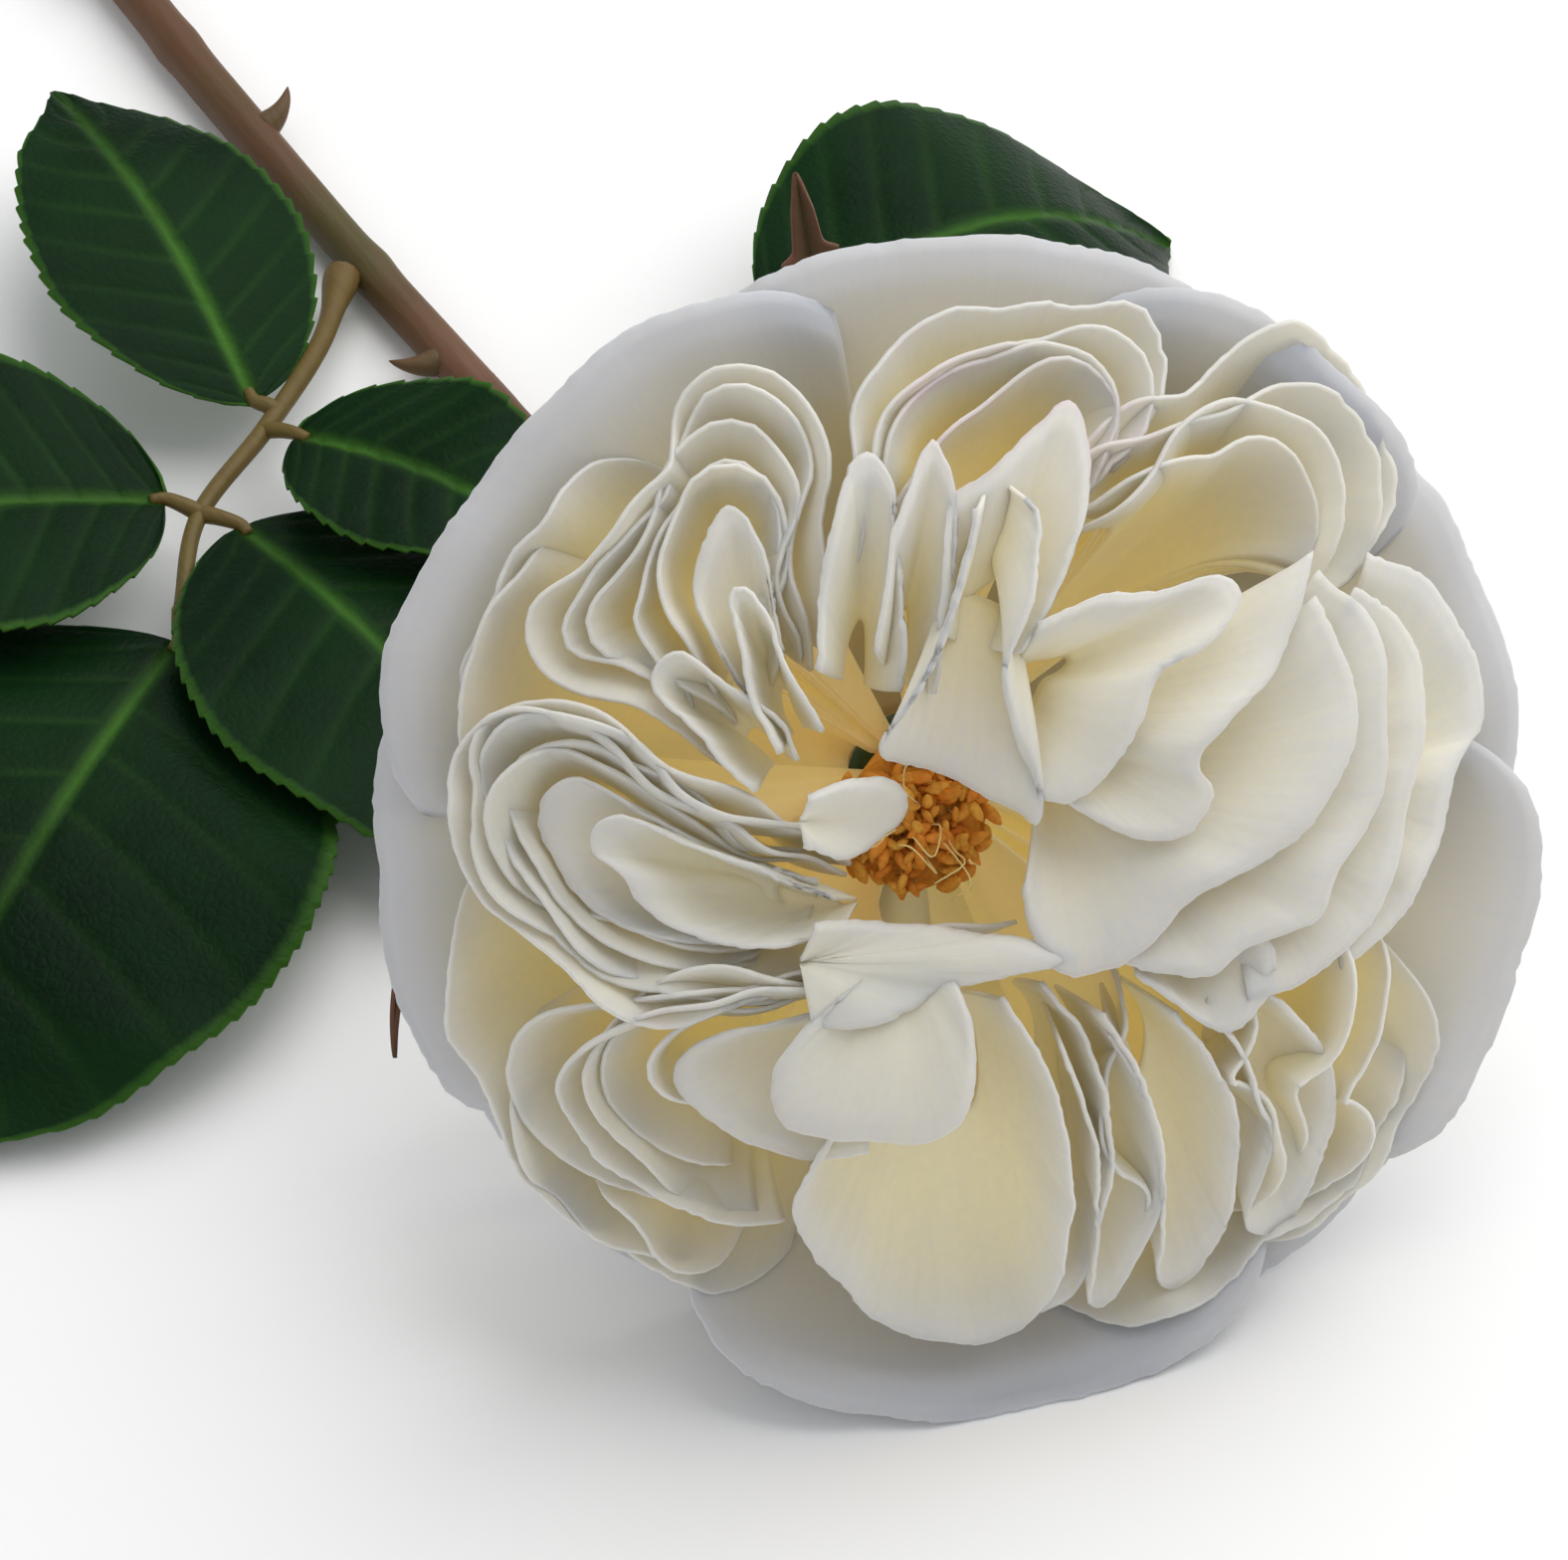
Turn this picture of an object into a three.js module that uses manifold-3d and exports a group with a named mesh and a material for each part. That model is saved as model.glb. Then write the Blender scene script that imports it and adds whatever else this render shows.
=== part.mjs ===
// A cut garden rose lying on its side: a full rosette bloom on its hip, five sepals, a stem with
// prickles, a compound leaf of five leaflets and a small upper leaf of one leaflet.
//
// Frame: millimetres, +Z up, the table is the XY plane. The stem lies along +Y and the bloom is at
// its -Y end, leaning up and facing away from the stem. The origin is under the middle of the box.
//
// The bloom has a frame of its own: its z is the flower's axis, out of its face, with z = 0 at the
// top of the hip, and its x and y are the plan of the rosette seen face on.

import * as THREE from 'three';
import { mergeVertices } from 'three/addons/utils/BufferGeometryUtils.js';
import Module from 'manifold-3d';

const wasm = await Module();
wasm.setup();

// ---- Driving dimensions (millimetres and degrees) ----

const ROSETTE_RADIUS = 52;          // the inner petals, without the guard petals
const ROSETTE_HEIGHT = 40;          // hip top to the highest rims
const DRAWN_RADIUS = 52;            // the radius that the plans of the folds below are drawn at
const EYE = [-8, 4];                // the stamens' place in the plan
const EYE_DEPTH = 9;
const EYE_SPREAD = 9;
const CUP_HEIGHT = 30;              // where the cup of the petals reaches its full radius
const PETAL_THICKNESS = 0.7;
const GUARD_THICKNESS = 0.6;
const GUARD_OVERHANG = 4;           // a guard petal's rim beyond the rosette
const GUARD_FALL = 0.012; // of the rosette's radius, for each layer of guard petals
const GUARD_SLACK = 0.1;
const GUARD_RISE = 22;
const GUARD_LAYER_GAP = 2.6;        // between the layers of guard petals, at their rims

const HIP_RADIUS = 7.5;
const HIP_HEIGHT = 14;
const CLEARANCE = 0.35;             // between pieces that grow from one another
const HIP_SHOULDER = 1;             // the hip's edge outside the roots of the rosette

const BLOOM_ELEVATION = 35.1;       // the flower's axis above the table
const BLOOM_HEADING = 18.2;         // the axis turned from -Y towards -X
const BLOOM_ROLL = 10.9;            // the plan turned about the axis

const STEM_END = 238;               // the cut end's place along Y
const STEM_RADIUS = 2.1;            // under the bloom
const STEM_END_RADIUS = 2.7;        // at the cut end
const STEM_LANDING = 88;            // where the stem reaches the table
const PRICKLE_LENGTH = 4.2;
const PRICKLE_RADIUS = 1.3;

const SEPAL_LENGTH = 52;
const SEPAL_WIDTH = 7;
const SEPAL_THICKNESS = 0.7;

const LEAFLET_THICKNESS = 0.6;
const STALK_RADIUS = 0.9;

// A guard petal's rim from the flower's axis, and the rosette's radius where it meets the hip.
const GUARD_REACH = ROSETTE_RADIUS + GUARD_OVERHANG;
const BASE_RADIUS = HIP_RADIUS - HIP_SHOULDER;

// ---- Materials ----

const COLOURS = {
  petal: new THREE.Color(0.86, 0.80, 0.66),
  innerPetal: new THREE.Color(0.88, 0.80, 0.60),
  stamen: new THREE.Color(0.78, 0.50, 0.16),
  sepal: new THREE.Color(0.27, 0.20, 0.09),
  hip: new THREE.Color(0.19, 0.25, 0.09),
  stem: new THREE.Color(0.33, 0.20, 0.11),
  leaf: new THREE.Color(0.04, 0.12, 0.05),
};

function material(colour, roughness) {
  return new THREE.MeshStandardMaterial({
    color: COLOURS[colour],
    roughness,
    metalness: 0,
    side: THREE.DoubleSide,
  });
}

function piece(name, geometry, colour, roughness) {
  const mesh = new THREE.Mesh(geometry, material(colour, roughness));
  mesh.name = name;
  return mesh;
}

// ---- Geometry helpers ----

const vec = (x, y, z) => new THREE.Vector3(x, y, z);
const radians = THREE.MathUtils.degToRad;

function signedVolume(positions, index) {
  const a = new THREE.Vector3();
  const b = new THREE.Vector3();
  const c = new THREE.Vector3();
  let volume = 0;
  for (let i = 0; i < index.length; i += 3) {
    a.fromArray(positions, 3 * index[i]);
    b.fromArray(positions, 3 * index[i + 1]);
    c.fromArray(positions, 3 * index[i + 2]);
    volume += a.dot(b.cross(c)) / 6;
  }
  return volume;
}

// A geometry from points and triangles, turned so that its faces point out.
function closedGeometry(points, triangles) {
  const positions = points.flatMap((p) => [p.x, p.y, p.z]);
  const index = triangles.flat();
  if (signedVolume(positions, index) < 0) {
    index.reverse();
  }
  const geometry = new THREE.BufferGeometry();
  geometry.setAttribute('position', new THREE.Float32BufferAttribute(positions, 3));
  geometry.setIndex(index);
  geometry.computeVertexNormals();
  return geometry;
}

// A thin closed sheet round the surface point(u, v), which is across by along cells.
function sheet(point, thicknessAt, across, along) {
  const step = 1e-3;
  const front = [];
  const back = [];
  for (let j = 0; j <= along; j += 1) {
    for (let i = 0; i <= across; i += 1) {
      const u = i / across;
      const v = j / along;
      const du = point(Math.min(u + step, 1), v).sub(point(Math.max(u - step, 0), v));
      const dv = point(u, Math.min(v + step, 1)).sub(point(u, Math.max(v - step, 0)));
      const half = du.cross(dv).normalize().multiplyScalar(thicknessAt(u, v) / 2);
      const middle = point(u, v);
      front.push(middle.clone().add(half));
      back.push(middle.clone().sub(half));
    }
  }
  const row = across + 1;
  const offset = front.length;
  const triangles = [];
  const quad = (a, b, c, d) => triangles.push([a, b, c], [a, c, d]);
  for (let j = 0; j < along; j += 1) {
    for (let i = 0; i < across; i += 1) {
      const k = j * row + i;
      quad(k, k + 1, k + 1 + row, k + row);
      quad(offset + k, offset + k + row, offset + k + 1 + row, offset + k + 1);
    }
  }
  for (let i = 0; i < across; i += 1) {
    const top = along * row + i;
    quad(offset + i, offset + i + 1, i + 1, i);
    quad(top, top + 1, offset + top + 1, offset + top);
  }
  for (let j = 0; j < along; j += 1) {
    const left = j * row;
    const right = left + across;
    quad(left, left + row, offset + left + row, offset + left);
    quad(offset + right, offset + right + row, right + row, right);
  }
  return closedGeometry([...front, ...back], triangles);
}

// A round rod along a curve, closed at both ends, its radius given along it.
function rod(curve, radiusAt, steps, sides) {
  const frames = curve.computeFrenetFrames(steps, false);
  const points = [];
  const triangles = [];
  for (let j = 0; j <= steps; j += 1) {
    const centre = curve.getPointAt(j / steps);
    const radius = radiusAt(j / steps);
    for (let i = 0; i < sides; i += 1) {
      const angle = (2 * Math.PI * i) / sides;
      const across = frames.normals[j].clone().multiplyScalar(radius * Math.cos(angle));
      const up = frames.binormals[j].clone().multiplyScalar(radius * Math.sin(angle));
      points.push(centre.clone().add(across).add(up));
    }
  }
  for (let j = 0; j < steps; j += 1) {
    for (let i = 0; i < sides; i += 1) {
      const next = (i + 1) % sides;
      const a = j * sides + i;
      const b = j * sides + next;
      triangles.push([a, b, b + sides], [a, b + sides, a + sides]);
    }
  }
  const last = steps * sides;
  for (let i = 1; i < sides - 1; i += 1) {
    triangles.push([0, i + 1, i], [last, last + i, last + i + 1]);
  }
  return closedGeometry(points, triangles);
}

function toSolid(geometry) {
  const bare = geometry.clone();
  bare.deleteAttribute('normal');
  bare.deleteAttribute('uv');
  const merged = mergeVertices(bare);
  return new wasm.Manifold(new wasm.Mesh({
    numProp: 3,
    vertProperties: new Float32Array(merged.attributes.position.array),
    triVerts: new Uint32Array(merged.index.array),
  }));
}

function fromSolid(solid) {
  const mesh = solid.getMesh();
  const geometry = new THREE.BufferGeometry();
  geometry.setAttribute('position', new THREE.BufferAttribute(mesh.vertProperties, 3));
  geometry.setIndex(new THREE.BufferAttribute(mesh.triVerts, 1));
  geometry.computeVertexNormals();
  return geometry;
}

// ---- The bloom's frame ----

const elevation = radians(BLOOM_ELEVATION);
const heading = radians(BLOOM_HEADING);
const bloomAxis = vec(
  -Math.sin(heading) * Math.cos(elevation),
  -Math.cos(heading) * Math.cos(elevation),
  Math.sin(elevation),
);
const naturalUp = vec(0, 0, 1).addScaledVector(bloomAxis, -bloomAxis.z).normalize();
const naturalRight = naturalUp.clone().cross(bloomAxis);
const planUp = naturalUp.clone().multiplyScalar(Math.cos(radians(BLOOM_ROLL)));
planUp.addScaledVector(naturalRight, Math.sin(radians(BLOOM_ROLL)));
const planRight = planUp.clone().cross(bloomAxis);

// The hip's top stands where the lowest guard petals just reach the table.
const RIM_PLANE = 24;
const hipTop = vec(0, 0, GUARD_REACH * Math.cos(elevation)).addScaledVector(bloomAxis, -RIM_PLANE);

const bloom = new THREE.Group();
bloom.applyMatrix4(new THREE.Matrix4().makeBasis(planRight, planUp, bloomAxis));
bloom.position.copy(hipTop);
bloom.updateMatrixWorld(true);

// ---- Petals ----

// Every fold of the rosette narrows towards the hip by one common share, so that no two meet.
function share(z) {
  const below = Math.max(0, 1 - z / CUP_HEIGHT);
  return 1 - (1 - BASE_RADIUS / ROSETTE_RADIUS) * below * below;
}

// The height of the rims at a place of the plan: a low dome with the eye sunk into it.
function rimHeight(x, y) {
  const grown = ROSETTE_RADIUS / DRAWN_RADIUS;
  const out = Math.max(0, Math.hypot(x, y) / grown - 20);
  const eye = Math.hypot(x / grown - EYE[0], y / grown - EYE[1]) / EYE_SPREAD;
  return ROSETTE_HEIGHT - 0.018 * out * out - EYE_DEPTH * Math.exp(-eye * eye);
}

function planCurve(points) {
  const grown = ROSETTE_RADIUS / DRAWN_RADIUS;
  const curve = new THREE.CatmullRomCurve3(
    points.map(([x, y]) => vec(x * grown, y * grown, 0)),
    false,
    'centripetal',
  );
  curve.arcLengthDivisions = 100;
  return curve;
}

// A petal whose rim follows a curve of the plan, with its two ends rounded down.
function foldedPetal(points, shoulder) {
  const curve = planCurve(points);
  const across = Math.max(8, Math.round(curve.getLength() / 5));
  const low = CLEARANCE;
  const point = (u, v) => {
    const rim = curve.getPointAt(u);
    const top = rimHeight(rim.x, rim.y);
    const height = top * (1 - shoulder * Math.abs(2 * u - 1) ** 4);
    const z = low + (height - low) * v;
    const scale = share(z) / share(top);
    return vec(rim.x * scale, rim.y * scale, z);
  };
  const thickness = (u, v) => PETAL_THICKNESS * share(low + (ROSETTE_HEIGHT - low) * v);
  return sheet(point, thickness, across, 4);
}

// Nested folds between an outer and an inner plan.
function nested(outer, inner, count) {
  return Array.from({ length: count }, (_, k) => {
    const t = k / (count - 1);
    return outer.map(([x, y], i) => [x + (inner[i][0] - x) * t, y + (inner[i][1] - y) * t]);
  });
}

const FOLDS = {
  left: nested(
    [[-21, 5], [-28, 8], [-38, 13], [-46, 12], [-48, 4], [-45, -4], [-38, -9], [-29, -8], [-21, -4]],
    [[-29, 3], [-33, 5], [-37, 7], [-41, 8], [-42, 4], [-40, 0], [-37, -3], [-33, -3], [-29, -2]],
    3,
  ),
  upper_left: nested(
    [
      [-27, 14], [-35, 18], [-43, 20], [-38, 27], [-31, 34],
      [-29, 41], [-23, 43], [-19, 37], [-18, 27], [-19, 17],
    ],
    [
      [-26, 20], [-28, 22], [-31, 24], [-30, 27], [-28, 29],
      [-27, 32], [-25, 32], [-24, 28], [-24, 24], [-23, 20],
    ],
    3,
  ),
  top: nested(
    [[-14, 20], [-15, 32], [-13, 42], [-5, 48], [5, 49], [12, 49], [14, 46], [12, 41], [9, 37]],
    [[-7, 24], [-8, 31], [-7, 36], [-3, 40], [1, 42], [4, 41], [4, 37], [2, 32], [1, 27]],
    3,
  ),
  upper_right: nested(
    [[10, 33], [14, 39], [20, 43], [27, 43], [34, 38], [38, 32], [35, 27]],
    [[12, 29], [16, 33], [20, 36], [25, 36], [29, 33], [30, 29], [28, 26]],
    3,
  ),
  right: [
    [[16, 17], [19, 13], [19, 8], [15, 4], [9, 4], [4, 4]],
    [[22, 22], [25, 16], [25, 9], [21, 2], [14, -2], [6, -3]],
    [[28, 22], [32, 16], [32, 9], [28, 2], [20, -4], [11, -7]],
    [[37, 23], [39, 16], [38, 9], [34, 1], [29, -5], [23, -8]],
    [[41, 25], [45, 19], [49, 12], [44, 5], [39, -1], [34, -6]],
    [[27, -10], [26, -14], [22, -16], [17, -14], [14, -11]],
  ],
  lower_right: [
    [[37, -7], [42, -13], [39, -20], [40, -27], [35, -33], [29, -38]],
    [[31, -10], [34, -16], [31, -22], [33, -28], [28, -34]],
    [[25, -20], [24, -25], [26, -31], [23, -38]],
    [[18, -19], [17, -25], [19, -32], [17, -41]],
  ],
  bottom: [
    [[-17, -31], [-14, -39], [-7, -46], [1, -48], [8, -45], [10, -36], [9, -26], [5, -17], [-1, -10]],
    [[-9, -30], [-8, -37], [-3, -42], [2, -41], [4, -34], [3, -26], [1, -20]],
  ],
  lower_left: nested(
    [[-25, -12], [-34, -12], [-40, -16], [-41, -22], [-35, -28], [-27, -32], [-21, -33]],
    [[-23, -18], [-27, -18], [-31, -19], [-31, -21], [-29, -23], [-26, -25], [-23, -26]],
    3,
  ),
};

// The three petals that close the rosette round its edge.
const CUP_ARCS = [[184, 252], [276, 340], [131, 168]];
const CUP_RADIUS = 51;
const CUP_SPAN_POINTS = 7;

function arcPlan([from, to], radius) {
  return Array.from({ length: CUP_SPAN_POINTS }, (_, k) => {
    const angle = radians(from + ((to - from) * k) / (CUP_SPAN_POINTS - 1));
    return [radius * Math.cos(angle), radius * Math.sin(angle)];
  });
}

const SINGLE_PETALS = {
  petal_over_eye: [[-12, 14], [-6, 11], [0, 9], [0, 14], [-3, 20], [-3, 26], [-2, 33]],
  petal_beside_eye: [[2, 20], [6, 25], [12, 27], [18, 26], [14, 22], [11, 17], [6, 10]],
  petal_front_cup: [
    [-18, -23], [-19, -16], [-12, -9], [-6, -10], [-3, -16], [-4, -22], [-9, -26], [-14, -27],
  ],
  petaloid: [[-19, 11], [-18, 6], [-15, 3]],
};

for (const [place, plans] of Object.entries(FOLDS)) {
  plans.forEach((plan, k) => {
    bloom.add(piece(`petal_${place}_${k + 1}`, foldedPetal(plan, 0.3), 'innerPetal', 0.6));
  });
}
for (const [name, plan] of Object.entries(SINGLE_PETALS)) {
  bloom.add(piece(name, foldedPetal(plan, 0.2), 'innerPetal', 0.6));
}
CUP_ARCS.forEach((arc, k) => {
  bloom.add(piece(`petal_cup_${k + 1}`, foldedPetal(arcPlan(arc, CUP_RADIUS), 0.3), 'petal', 0.6));
});

// Guard petals: a layer (0 is the innermost), the angles they span in the plan, how far past
// GUARD_REACH they go, and how far their rims curl back.
const GUARD_PETALS = [
  { layer: 0, span: [110, 176], extra: 2, curl: 3 },
  { layer: 1, span: [166, 216], extra: -1, curl: 5 },
  { layer: 2, span: [208, 258], extra: -3, curl: 5 },
  { layer: 0, span: [244, 306], extra: 1, curl: -3 },
  { layer: 1, span: [294, 336], extra: 0, curl: 1 },
  { layer: 0, span: [322, 366], extra: 1, curl: 0 },
  { layer: 1, span: [354, 404], extra: 0, curl: 4 },
  { layer: 0, span: [36, 74], extra: 0, curl: 3 },
  { layer: 1, span: [62, 122], extra: 0, curl: 3 },
];
// The guard petals' fall below the rosette, layer by layer.
const GUARD_BASE_GAP = GUARD_FALL * ROSETTE_RADIUS - GUARD_SLACK;

function guardPetal({ layer, span, extra, curl }) {
  const root = BASE_RADIUS + CLEARANCE + 0.2;
  const rise = GUARD_RISE - GUARD_LAYER_GAP * layer;
  const point = (u, v) => {
    const angle = radians(span[0] + (span[1] - span[0]) * u);
    const edge = Math.abs(2 * u - 1) ** 3;
    const reach = (GUARD_REACH + extra) * (1 - 0.08 * edge);
    const radius = root + (reach - root) * v;
    const out = (radius - root) / (GUARD_REACH - root);
    const late = Math.max(0, v - 0.7) / 0.3;
    const z = rise * out ** 1.35 - GUARD_BASE_GAP * (layer + 1) - curl * late * late;
    return vec(radius * Math.cos(angle), radius * Math.sin(angle), z);
  };
  const thickness = (u, v) => GUARD_THICKNESS * (0.4 + 0.6 * v);
  return sheet(point, thickness, Math.round((span[1] - span[0]) / 7), 8);
}

GUARD_PETALS.forEach((guard, k) => {
  bloom.add(piece(`guard_petal_${k + 1}`, guardPetal(guard), 'petal', 0.6));
});

// ---- Stamens ----

function stamenTuft() {
  const top = rimHeight(...EYE) - 3;
  const profile = [[0, 1], [0.5, 1], [0.9, 1], [1, 0.45]];
  const sides = 14;
  const points = [];
  const triangles = [];
  for (const [height, width] of profile) {
    const z = CLEARANCE + (top - CLEARANCE) * height;
    for (let i = 0; i < sides; i += 1) {
      const angle = (2 * Math.PI * i) / sides;
      const x = EYE[0] + 5 * width * Math.cos(angle);
      const y = EYE[1] + 4 * width * Math.sin(angle);
      points.push(vec(x * share(z), y * share(z), z));
    }
  }
  for (let j = 0; j < profile.length - 1; j += 1) {
    for (let i = 0; i < sides; i += 1) {
      const next = (i + 1) % sides;
      const a = j * sides + i;
      const b = j * sides + next;
      triangles.push([a, b, b + sides], [a, b + sides, a + sides]);
    }
  }
  const last = (profile.length - 1) * sides;
  for (let i = 1; i < sides - 1; i += 1) {
    triangles.push([0, i + 1, i], [last, last + i, last + i + 1]);
  }
  return closedGeometry(points, triangles);
}

bloom.add(piece('stamens', stamenTuft(), 'stamen', 0.7));

// ---- Hip and sepals ----

function hip() {
  const half = HIP_HEIGHT / 2;
  const fullness = 3;
  const count = 9;
  const profile = [];
  for (let k = 0; k <= count; k += 1) {
    const height = -Math.cos((Math.PI * k) / count);
    const radius = HIP_RADIUS * (1 - Math.abs(height) ** fullness) ** (1 / fullness);
    profile.push(new THREE.Vector2(k === 0 || k === count ? 0 : radius, half * height - half));
  }
  const geometry = new THREE.LatheGeometry(profile, 20);
  geometry.rotateX(Math.PI / 2);
  return geometry;
}

bloom.add(piece('hip', hip(), 'hip', 0.5));

// Sepals: the angle they leave at, the turn of their tip, and how far the tip rises or falls.
const SEPALS = [
  { angle: 105, turn: 0, tip: 8 },
  { angle: 182, turn: 22, tip: 4 },
  { angle: 238, turn: -26, tip: 0 },
  { angle: 321, turn: 16, tip: 2 },
  { angle: 33, turn: 4, tip: -4 },
];

function sepal({ angle, turn, tip }) {
  const start = HIP_RADIUS + CLEARANCE;
  const point = (u, v) => {
    const bend = radians(angle + turn * v * v);
    const radius = start + SEPAL_LENGTH * v;
    const z = -3.4 - 3 * Math.sin(Math.PI * Math.min(1, 1.6 * v)) + tip * v * v;
    const half = (SEPAL_WIDTH / 2) * (1 - 0.9 * v ** 1.2);
    const side = (2 * u - 1) * half;
    return vec(
      radius * Math.cos(bend) - side * Math.sin(bend),
      radius * Math.sin(bend) + side * Math.cos(bend),
      z + 0.25 * Math.abs(side),
    );
  };
  return sheet(point, (u, v) => SEPAL_THICKNESS * (1 - 0.4 * v), 2, 10);
}

SEPALS.forEach((form, k) => {
  bloom.add(piece(`sepal_${k + 1}`, sepal(form), 'sepal', 0.6));
});

// ---- Stem ----

const rose = new THREE.Group();
rose.add(bloom);

const stemStart = hipTop.clone().addScaledVector(bloomAxis, -HIP_HEIGHT - CLEARANCE);
const NECK_LEAD = 9.5;              // the straight stretch under the hip
const stemTowards = stemStart.clone().addScaledVector(bloomAxis, -NECK_LEAD);
const stemCurve = new THREE.CatmullRomCurve3([
  stemStart,
  stemTowards,
  vec(13.5, 51, 0.46 * stemTowards.z + 2),
  vec(12.5, 68, STEM_RADIUS + 2.2),
  vec(10.7, STEM_LANDING, STEM_RADIUS),
  vec(9.6, 108, 0.8 * STEM_RADIUS + 0.2 * STEM_END_RADIUS),
  vec(8.5, 128, 0.7 * STEM_RADIUS + 0.3 * STEM_END_RADIUS),
  vec(7.8, 152, 0.5 * STEM_RADIUS + 0.5 * STEM_END_RADIUS),
  vec(7.7, 176, 0.35 * STEM_RADIUS + 0.65 * STEM_END_RADIUS),
  vec(9, STEM_END, STEM_END_RADIUS),
], false, 'centripetal');
stemCurve.arcLengthDivisions = 400;

const stemRadius = (t) => STEM_RADIUS + (STEM_END_RADIUS - STEM_RADIUS) * t;

// The stem's point nearest to a place along Y, and its radius there.
function stemAt(y) {
  let best = 0;
  for (let k = 1; k <= 400; k += 1) {
    const nearer = Math.abs(stemCurve.getPointAt(k / 400).y - y);
    if (nearer < Math.abs(stemCurve.getPointAt(best / 400).y - y)) {
      best = k;
    }
  }
  return { centre: stemCurve.getPointAt(best / 400), radius: stemRadius(best / 400) };
}

// Prickles: their place along Y, and the side they stand out at, turned up from +X.
const PRICKLES = [
  { y: 152, side: 25 },
  { y: 114, side: 172 },
  { y: 186, side: 140 },
  { y: 214, side: 55 },
  { y: 74, side: 60 },
];

function prickle({ y, side }) {
  const { centre, radius } = stemAt(y);
  const out = vec(Math.cos(radians(side)), 0, Math.sin(radians(side)));
  const hooked = out.clone().add(vec(0, 0.45, 0)).normalize();
  const geometry = new THREE.ConeGeometry(PRICKLE_RADIUS, PRICKLE_LENGTH, 8);
  geometry.applyQuaternion(new THREE.Quaternion().setFromUnitVectors(vec(0, 1, 0), hooked));
  const middle = centre.clone().addScaledVector(out, radius - 0.6);
  middle.addScaledVector(hooked, PRICKLE_LENGTH / 2);
  geometry.translate(middle.x, middle.y, middle.z);
  return geometry;
}

let stemSolid = toSolid(rod(stemCurve, stemRadius, 60, 12));
for (const form of PRICKLES) {
  stemSolid = stemSolid.add(toSolid(prickle(form)));
}
rose.add(piece('stem', fromSolid(stemSolid), 'stem', 0.55));

// ---- Leaves ----

// The half width of a leaflet along its midrib, as a share of its greatest.
const leafOutline = (v) => Math.max(0.04, Math.sin(Math.PI * v ** 0.8) ** 0.75);

function leaflet({ base, tip, width, arch, fold, bank }) {
  const from = vec(...base);
  const along = vec(...tip).sub(from);
  const axis = along.clone().normalize();
  const side = vec(0, 0, 1).cross(axis).normalize().applyAxisAngle(axis, radians(bank));
  const up = axis.clone().cross(side);
  const point = (u, v) => {
    const half = (width / 2) * leafOutline(v);
    const off = (2 * u - 1) * half;
    const lift = arch * Math.sin(Math.PI * v) + fold * Math.abs(off);
    return from.clone().addScaledVector(along, v).addScaledVector(side, off).addScaledVector(up, lift);
  };
  return sheet(point, () => LEAFLET_THICKNESS, 4, 10);
}

function stalk(points, radius) {
  const curve = new THREE.CatmullRomCurve3(points, false, 'centripetal');
  return rod(curve, (t) => radius * (1 - 0.35 * t), 16, 7);
}

// A leaf stalk starts clear of the stem, on the side that it leaves by.
function stalkStart(y, side, rise) {
  const { centre, radius } = stemAt(y);
  const out = vec(side, 0, rise).normalize();
  return centre.clone().addScaledVector(out, radius + STALK_RADIUS + CLEARANCE);
}

const LEAF_1_STALK = [
  stalkStart(129, -1, 0.35),
  vec(-3, 119.5, 6),
  vec(-13.8, 111.8, 6.8),
  vec(-25.6, 105.2, 6.4),
  vec(-33.2, 95.5, 6),
];
const LEAF_1_LEAFLETS = [
  { base: [-13.2, 115.2, 7.4], tip: [-10.5, 162, 11], width: 29, arch: 4, fold: -0.05, bank: 8 },
  { base: [-27.8, 108.2, 7.6], tip: [-70, 124.5, 9], width: 39, arch: 3, fold: 0.1, bank: 0 },
  { base: [-22.6, 101.8, 6.6], tip: [-18, 44, 4], width: 40, arch: 5, fold: -0.05, bank: -5 },
  { base: [-12.2, 108.4, 8.2], tip: [3, 77, 10], width: 24, arch: 3, fold: 0.1, bank: 0 },
  { base: [-35.2, 92.6, 5.4], tip: [-94, 52, -0.3], width: 59, arch: 6, fold: 0, bank: 0 },
];
const LEAF_2_STALK = [
  stalkStart(92, 1, 0.6),
  vec(22, 91.5, 9),
  vec(32, 90.5, 14),
];
const LEAF_2_LEAFLET = {
  base: [34, 90.2, 14.8], tip: [83, 89, 0], width: 42, arch: 9, fold: -0.05, bank: 0,
};

rose.add(piece('leaf_1_stalk', stalk(LEAF_1_STALK, STALK_RADIUS), 'stem', 0.5));
LEAF_1_LEAFLETS.forEach((form, k) => {
  rose.add(piece(`leaf_1_leaflet_${k + 1}`, leaflet(form), 'leaf', 0.35));
});
rose.add(piece('leaf_2_stalk', stalk(LEAF_2_STALK, STALK_RADIUS), 'stem', 0.5));
rose.add(piece('leaf_2_leaflet', leaflet(LEAF_2_LEAFLET), 'leaf', 0.35));

// ---- The whole flower, with its origin under the middle of its box ----

rose.updateMatrixWorld(true);
const box = new THREE.Box3().setFromObject(rose, true);
rose.position.set(
  -(box.min.x + box.max.x) / 2,
  -(box.min.y + box.max.y) / 2,
  -box.min.z,
);
rose.updateMatrixWorld(true);

const group = new THREE.Group();
group.add(rose);

export default group;
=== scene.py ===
"""A cut garden rose lying on a pale table: the looks of the flower, built round its CAD frame.

Shapes are worked out in millimetres, in the frame that the CAD part is designed in, and then moved
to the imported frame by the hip's place. The bloom has a frame of its own: z is the flower's axis,
out of its face, with z = 0 at the hip's top, and x and y are the plan of the rosette.
"""

import math

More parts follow.
